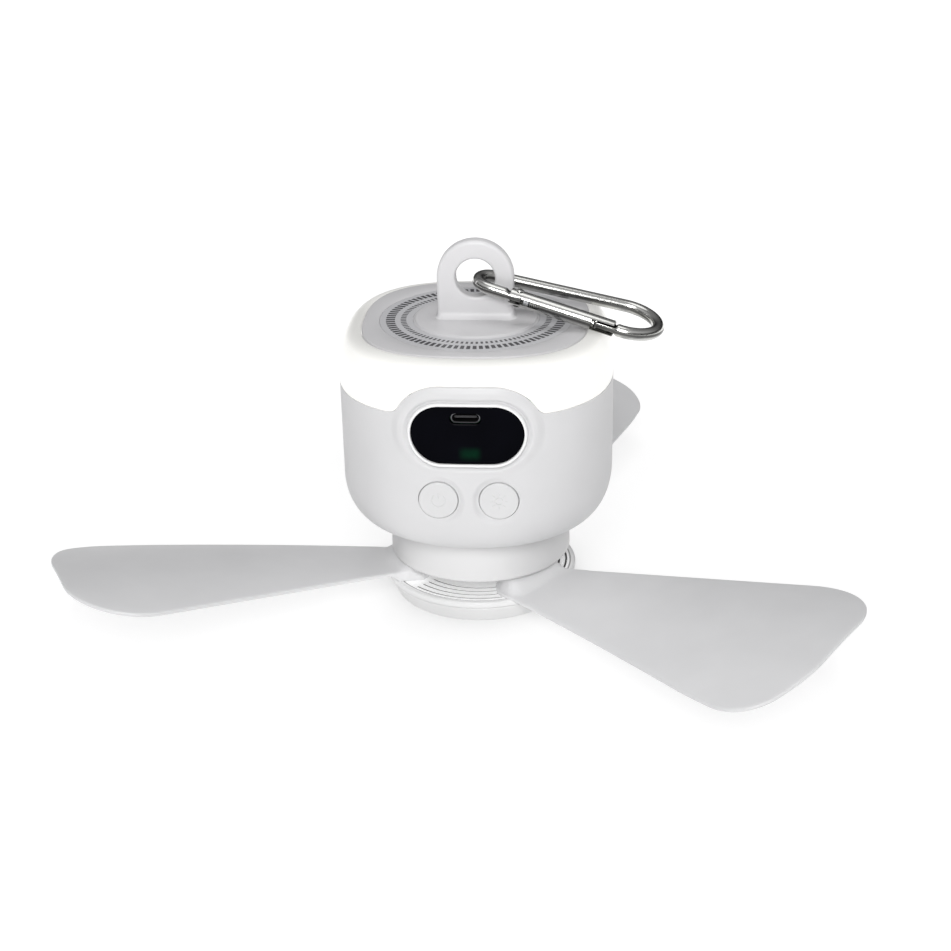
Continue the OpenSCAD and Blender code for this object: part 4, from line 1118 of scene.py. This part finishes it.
def makeClipWire():
    # one bar bent round, pressed flat where the gate turns on it and where it latches
    p, wire, flat = clipPlan, clipPlan["wire"], clipPlan["tongue"] / 2
    near, small, wideBend = p["near"], p["small"], p["wide"]
    toClip = clipFrame.inverted() @ gateFrame
    path, sections = [], []

    def add(place, wide=wire, thick=wire, square=2.0):
        path.append(place)
        sections.append(flatSection(wide, thick, square))

    def gateLine(x):
        q = toClip @ Vector((x, 0, 0))
        return (q[0], q[1], 0)

    def bend(x, radius, start, swing, steps):
        for i in range(steps + 1):
            a = start + swing * i / steps
            add((x + radius * cos(a), radius * sin(a), 0))

    for x, wide, thick, square in ((1.55, 0.7, 0.5, 3), (1.45, 1.3, flat, 4), (0.9, 1.65, flat, 5),
                                   (-2.9, 1.7, flat, 5), (-3.6, 1.8, flat + 0.25, 3.4),
                                   (-4.1, 1.95, wire - 0.15, 2.3), (-4.5, wire, wire, 2)):
        add(gateLine(x), wide, thick, square)
    nearEnd = inGate(near - small * sin(clipTaper))
    for i in range(1, 5):
        add(gateLine(-4.5 + (nearEnd + 4.5) * i / 5))
    bend(near, small, radians(270) - clipTaper, 2 * clipTaper - pi, 28)
    far = near + p["length"]
    start, top = np.array(path[-1]), pi / 2 + clipTaper
    end = np.array((far + wideBend * cos(top), wideBend * sin(top), 0))
    for i in range(1, 24):
        add(tuple(start + (end - start) * i / 24))
    bend(far, wideBend, top, -(pi + 2 * clipTaper), 40)
    nose, tongueEnd = inGate(p["gateEnd"]) + p["gap"], inGate(p["tongueEnd"])
    farEnd = inGate(far - wideBend * sin(clipTaper))
    for i in range(1, 4):
        add(gateLine(farEnd + (nose + 0.9 - farEnd) * i / 3))
    for x, wide, thick, square in ((nose + 0.5, wire - 0.08, wire - 0.25, 2.2),
                                   (nose + 0.1, 1.75, 1.2, 3.2), (nose - 0.3, 1.62, flat, 5),
                                   (tongueEnd + 0.4, 1.62, flat, 5), (tongueEnd, 1.3, flat * 0.8, 4)):
        add(gateLine(x), wide, thick, square)
    points, faces = tube(path, sections, (0, 0, 1))
    # the short bar across the end that the gate hooks on
    bar = p["catch"]
    latch, latchFaces = spun([(bar["radius"] * r, bar["half"] * h) for h, r in (
        (-1, 0.55), (-0.86, 0.9), (-0.6, 1.0), (0.6, 1.0), (0.86, 0.9), (1, 0.55))], 20, False, "z",
        (tongueEnd + bar["radius"], bar["across"], 0))
    whole = joined((placed(points, clipFrame), faces), (placed(latch, gateFrame), latchFaces))
    pieceFrom("clipBar", *whole, "chrome", "clip", "clip_chrome", ["carabiner_wire"], 40)


def boxShape(x0, x1, y0, y1, z0, z1):
    points = [(x, y, z) for x in (x0, x1) for y in (y0, y1) for z in (z0, z1)]
    return points, [(0, 1, 3, 2), (4, 6, 7, 5), (0, 4, 5, 1), (2, 3, 7, 6), (0, 2, 6, 4), (1, 5, 7, 3)]


def gatePiece(name, shape, finish, stands, crease):
    points, faces = shape
    return pieceFrom(name, placed(points, gateFrame), faces, finish, "gate", "clip_chrome", stands, crease)


def makeClipGate():
    p = clipPlan
    outer, inner = p["gateRadius"], p["gateRadius"] - p["gateWall"]
    tip, near, stop = inGate(p["gateEnd"]), -p["gateRadius"], p["stop"] - p["pin"]
    profile = filletCorners([(inner, near, 0), (outer, near, 0.25), (outer, tip, 0.3), (inner, tip, 0.1),
                             (inner, near, 0)])[:-1]
    gate = gatePiece("clipGate", spun(profile, 48, True, "x"), "chrome", ["carabiner_gate"], 30)
    half = p["tongue"] / 2 + p["gap"]
    for points, faces in (boxShape(near - 1, 1.4, -5, 5, -half, half),
                          boxShape(1.2, stop - 0.2, -5, 0, -0.95, 0.95),
                          boxShape(inGate(p["tongueEnd"]) - 0.8, tip + 2, -5, 0.4, -p["slotHalf"],
                                   p["slotHalf"])):
        cutWith(gate, placed(points, gateFrame), faces, 30)
    plug = spun([(inner - 0.02, stop), (inner - 0.02, stop + 0.6)], 24, False, "x")
    gatePiece("gatePlug", plug, "darkPlastic", (), 30)


def makeGatePin():
    outer, radius, head = clipPlan["gateRadius"], 1.3, 0.48
    half = [(0.02, -outer - head)]
    half += [(radius * c, -outer - head * s) for c, s in arcSteps(80, 60, 40, 20, 0)]
    half.append((0.8, -outer + 0.02))
    profile = half + [(r, -z) for r, z in half[::-1]]
    gatePiece("gatePin", spun(profile, 32, False), "chrome", ["gate_pin"], 40)


springPlan = {"radius": 1.77, "wire": 0.27, "start": 4.08, "span": 3.04, "turns": 5, "steps": 22}


def makeGateSpring():
    p = springPlan
    count = p["turns"] * p["steps"]
    rings = []
    for i in range(count + 1):
        a, x = turn * i / p["steps"], p["start"] + p["span"] * i / count
        for c, s in circle(8):
            r = p["radius"] + p["wire"] * c
            rings.append((x + p["wire"] * s, r * cos(a), r * sin(a)))
    gatePiece("gateSpring", (rings, cappedFaces(count + 1, 8)), "springSteel", ["gate_spring"], 60)


makeClipWire()
makeClipGate()
makeGatePin()
makeGateSpring()
print("carabiner made")

# What stays as the CAD has it gets its own finish
nodeFinishes = {
    "labelFilm": ["label_ring"], "trayPlastic": ["light_tray"], "boardWhite": ["led_board"],
    "ledLens": ["led_chips"], "displayGlass": ["digit_display"], "boardGreen": ["control_board"],
    "socketSteel": ["usb_socket"], "darkPlastic": ["usb_tongue", "power_plunger", "light_plunger"],
    "holderPlastic": ["tact_switches", "battery_holder"], "copper": ["stator_coils"],
    "cellWrap": ["battery_cell_1", "battery_cell_2", "battery_cell_3"],
    "aluminium": ["motor_mount", "motor_bell"], "magnet": ["magnet_ring"],
    "motorSteel": ["stator_core", "shaft_circlip"],
    "zincSteel": ["cap_screws", "tray_screws", "board_screws", "battery_tabs", "cover_screws",
                  "motor_screws", "bearing_upper", "bearing_lower", "motor_shaft", "hub_nut",
                  "blade_screws", "gate_plunger"],
}


def finishNodes():
    for finish, names in nodeFinishes.items():
        for name in names:
            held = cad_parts[name]
            held.data.materials.clear()
            held.data.materials.append(materials[finish])


finishNodes()
print("inner parts finished")


def makeFloor():
    made = finishOf("paleFloor", (studio["floorTint"],) * 3, 0.75, vary=0.004, grain=300, bump=0.0,
                    patch=2.0, specular=0.2)
    tree, stops = made.node_tree, studio["floorStops"]
    # painted contact shadow: the floor's glow is duller close round the base, and a little brighter far
    # off
    farthest = stops[-1][0]
    share = mathNode(tree, "DIVIDE", reachOf(tree), farthest * mm, True)
    glowBy(made, (1, 1, 1), rampOf(tree, share, [(r / farthest, (level,) * 3) for r, level in stops]))
    mesh = bpy.data.meshes.new("floor")
    size = studio["floorSize"]
    mesh.from_pydata([(x * size, y * size, 0) for x, y in ((-1, -1), (1, -1), (1, 1), (-1, 1))], [],
                     [(0, 1, 2, 3)])
    mesh.materials.append(made)
    floor = addObject("floor", mesh)
    floor.location.z = -studio["floorDrop"]


makeFloor()
print("floor laid")
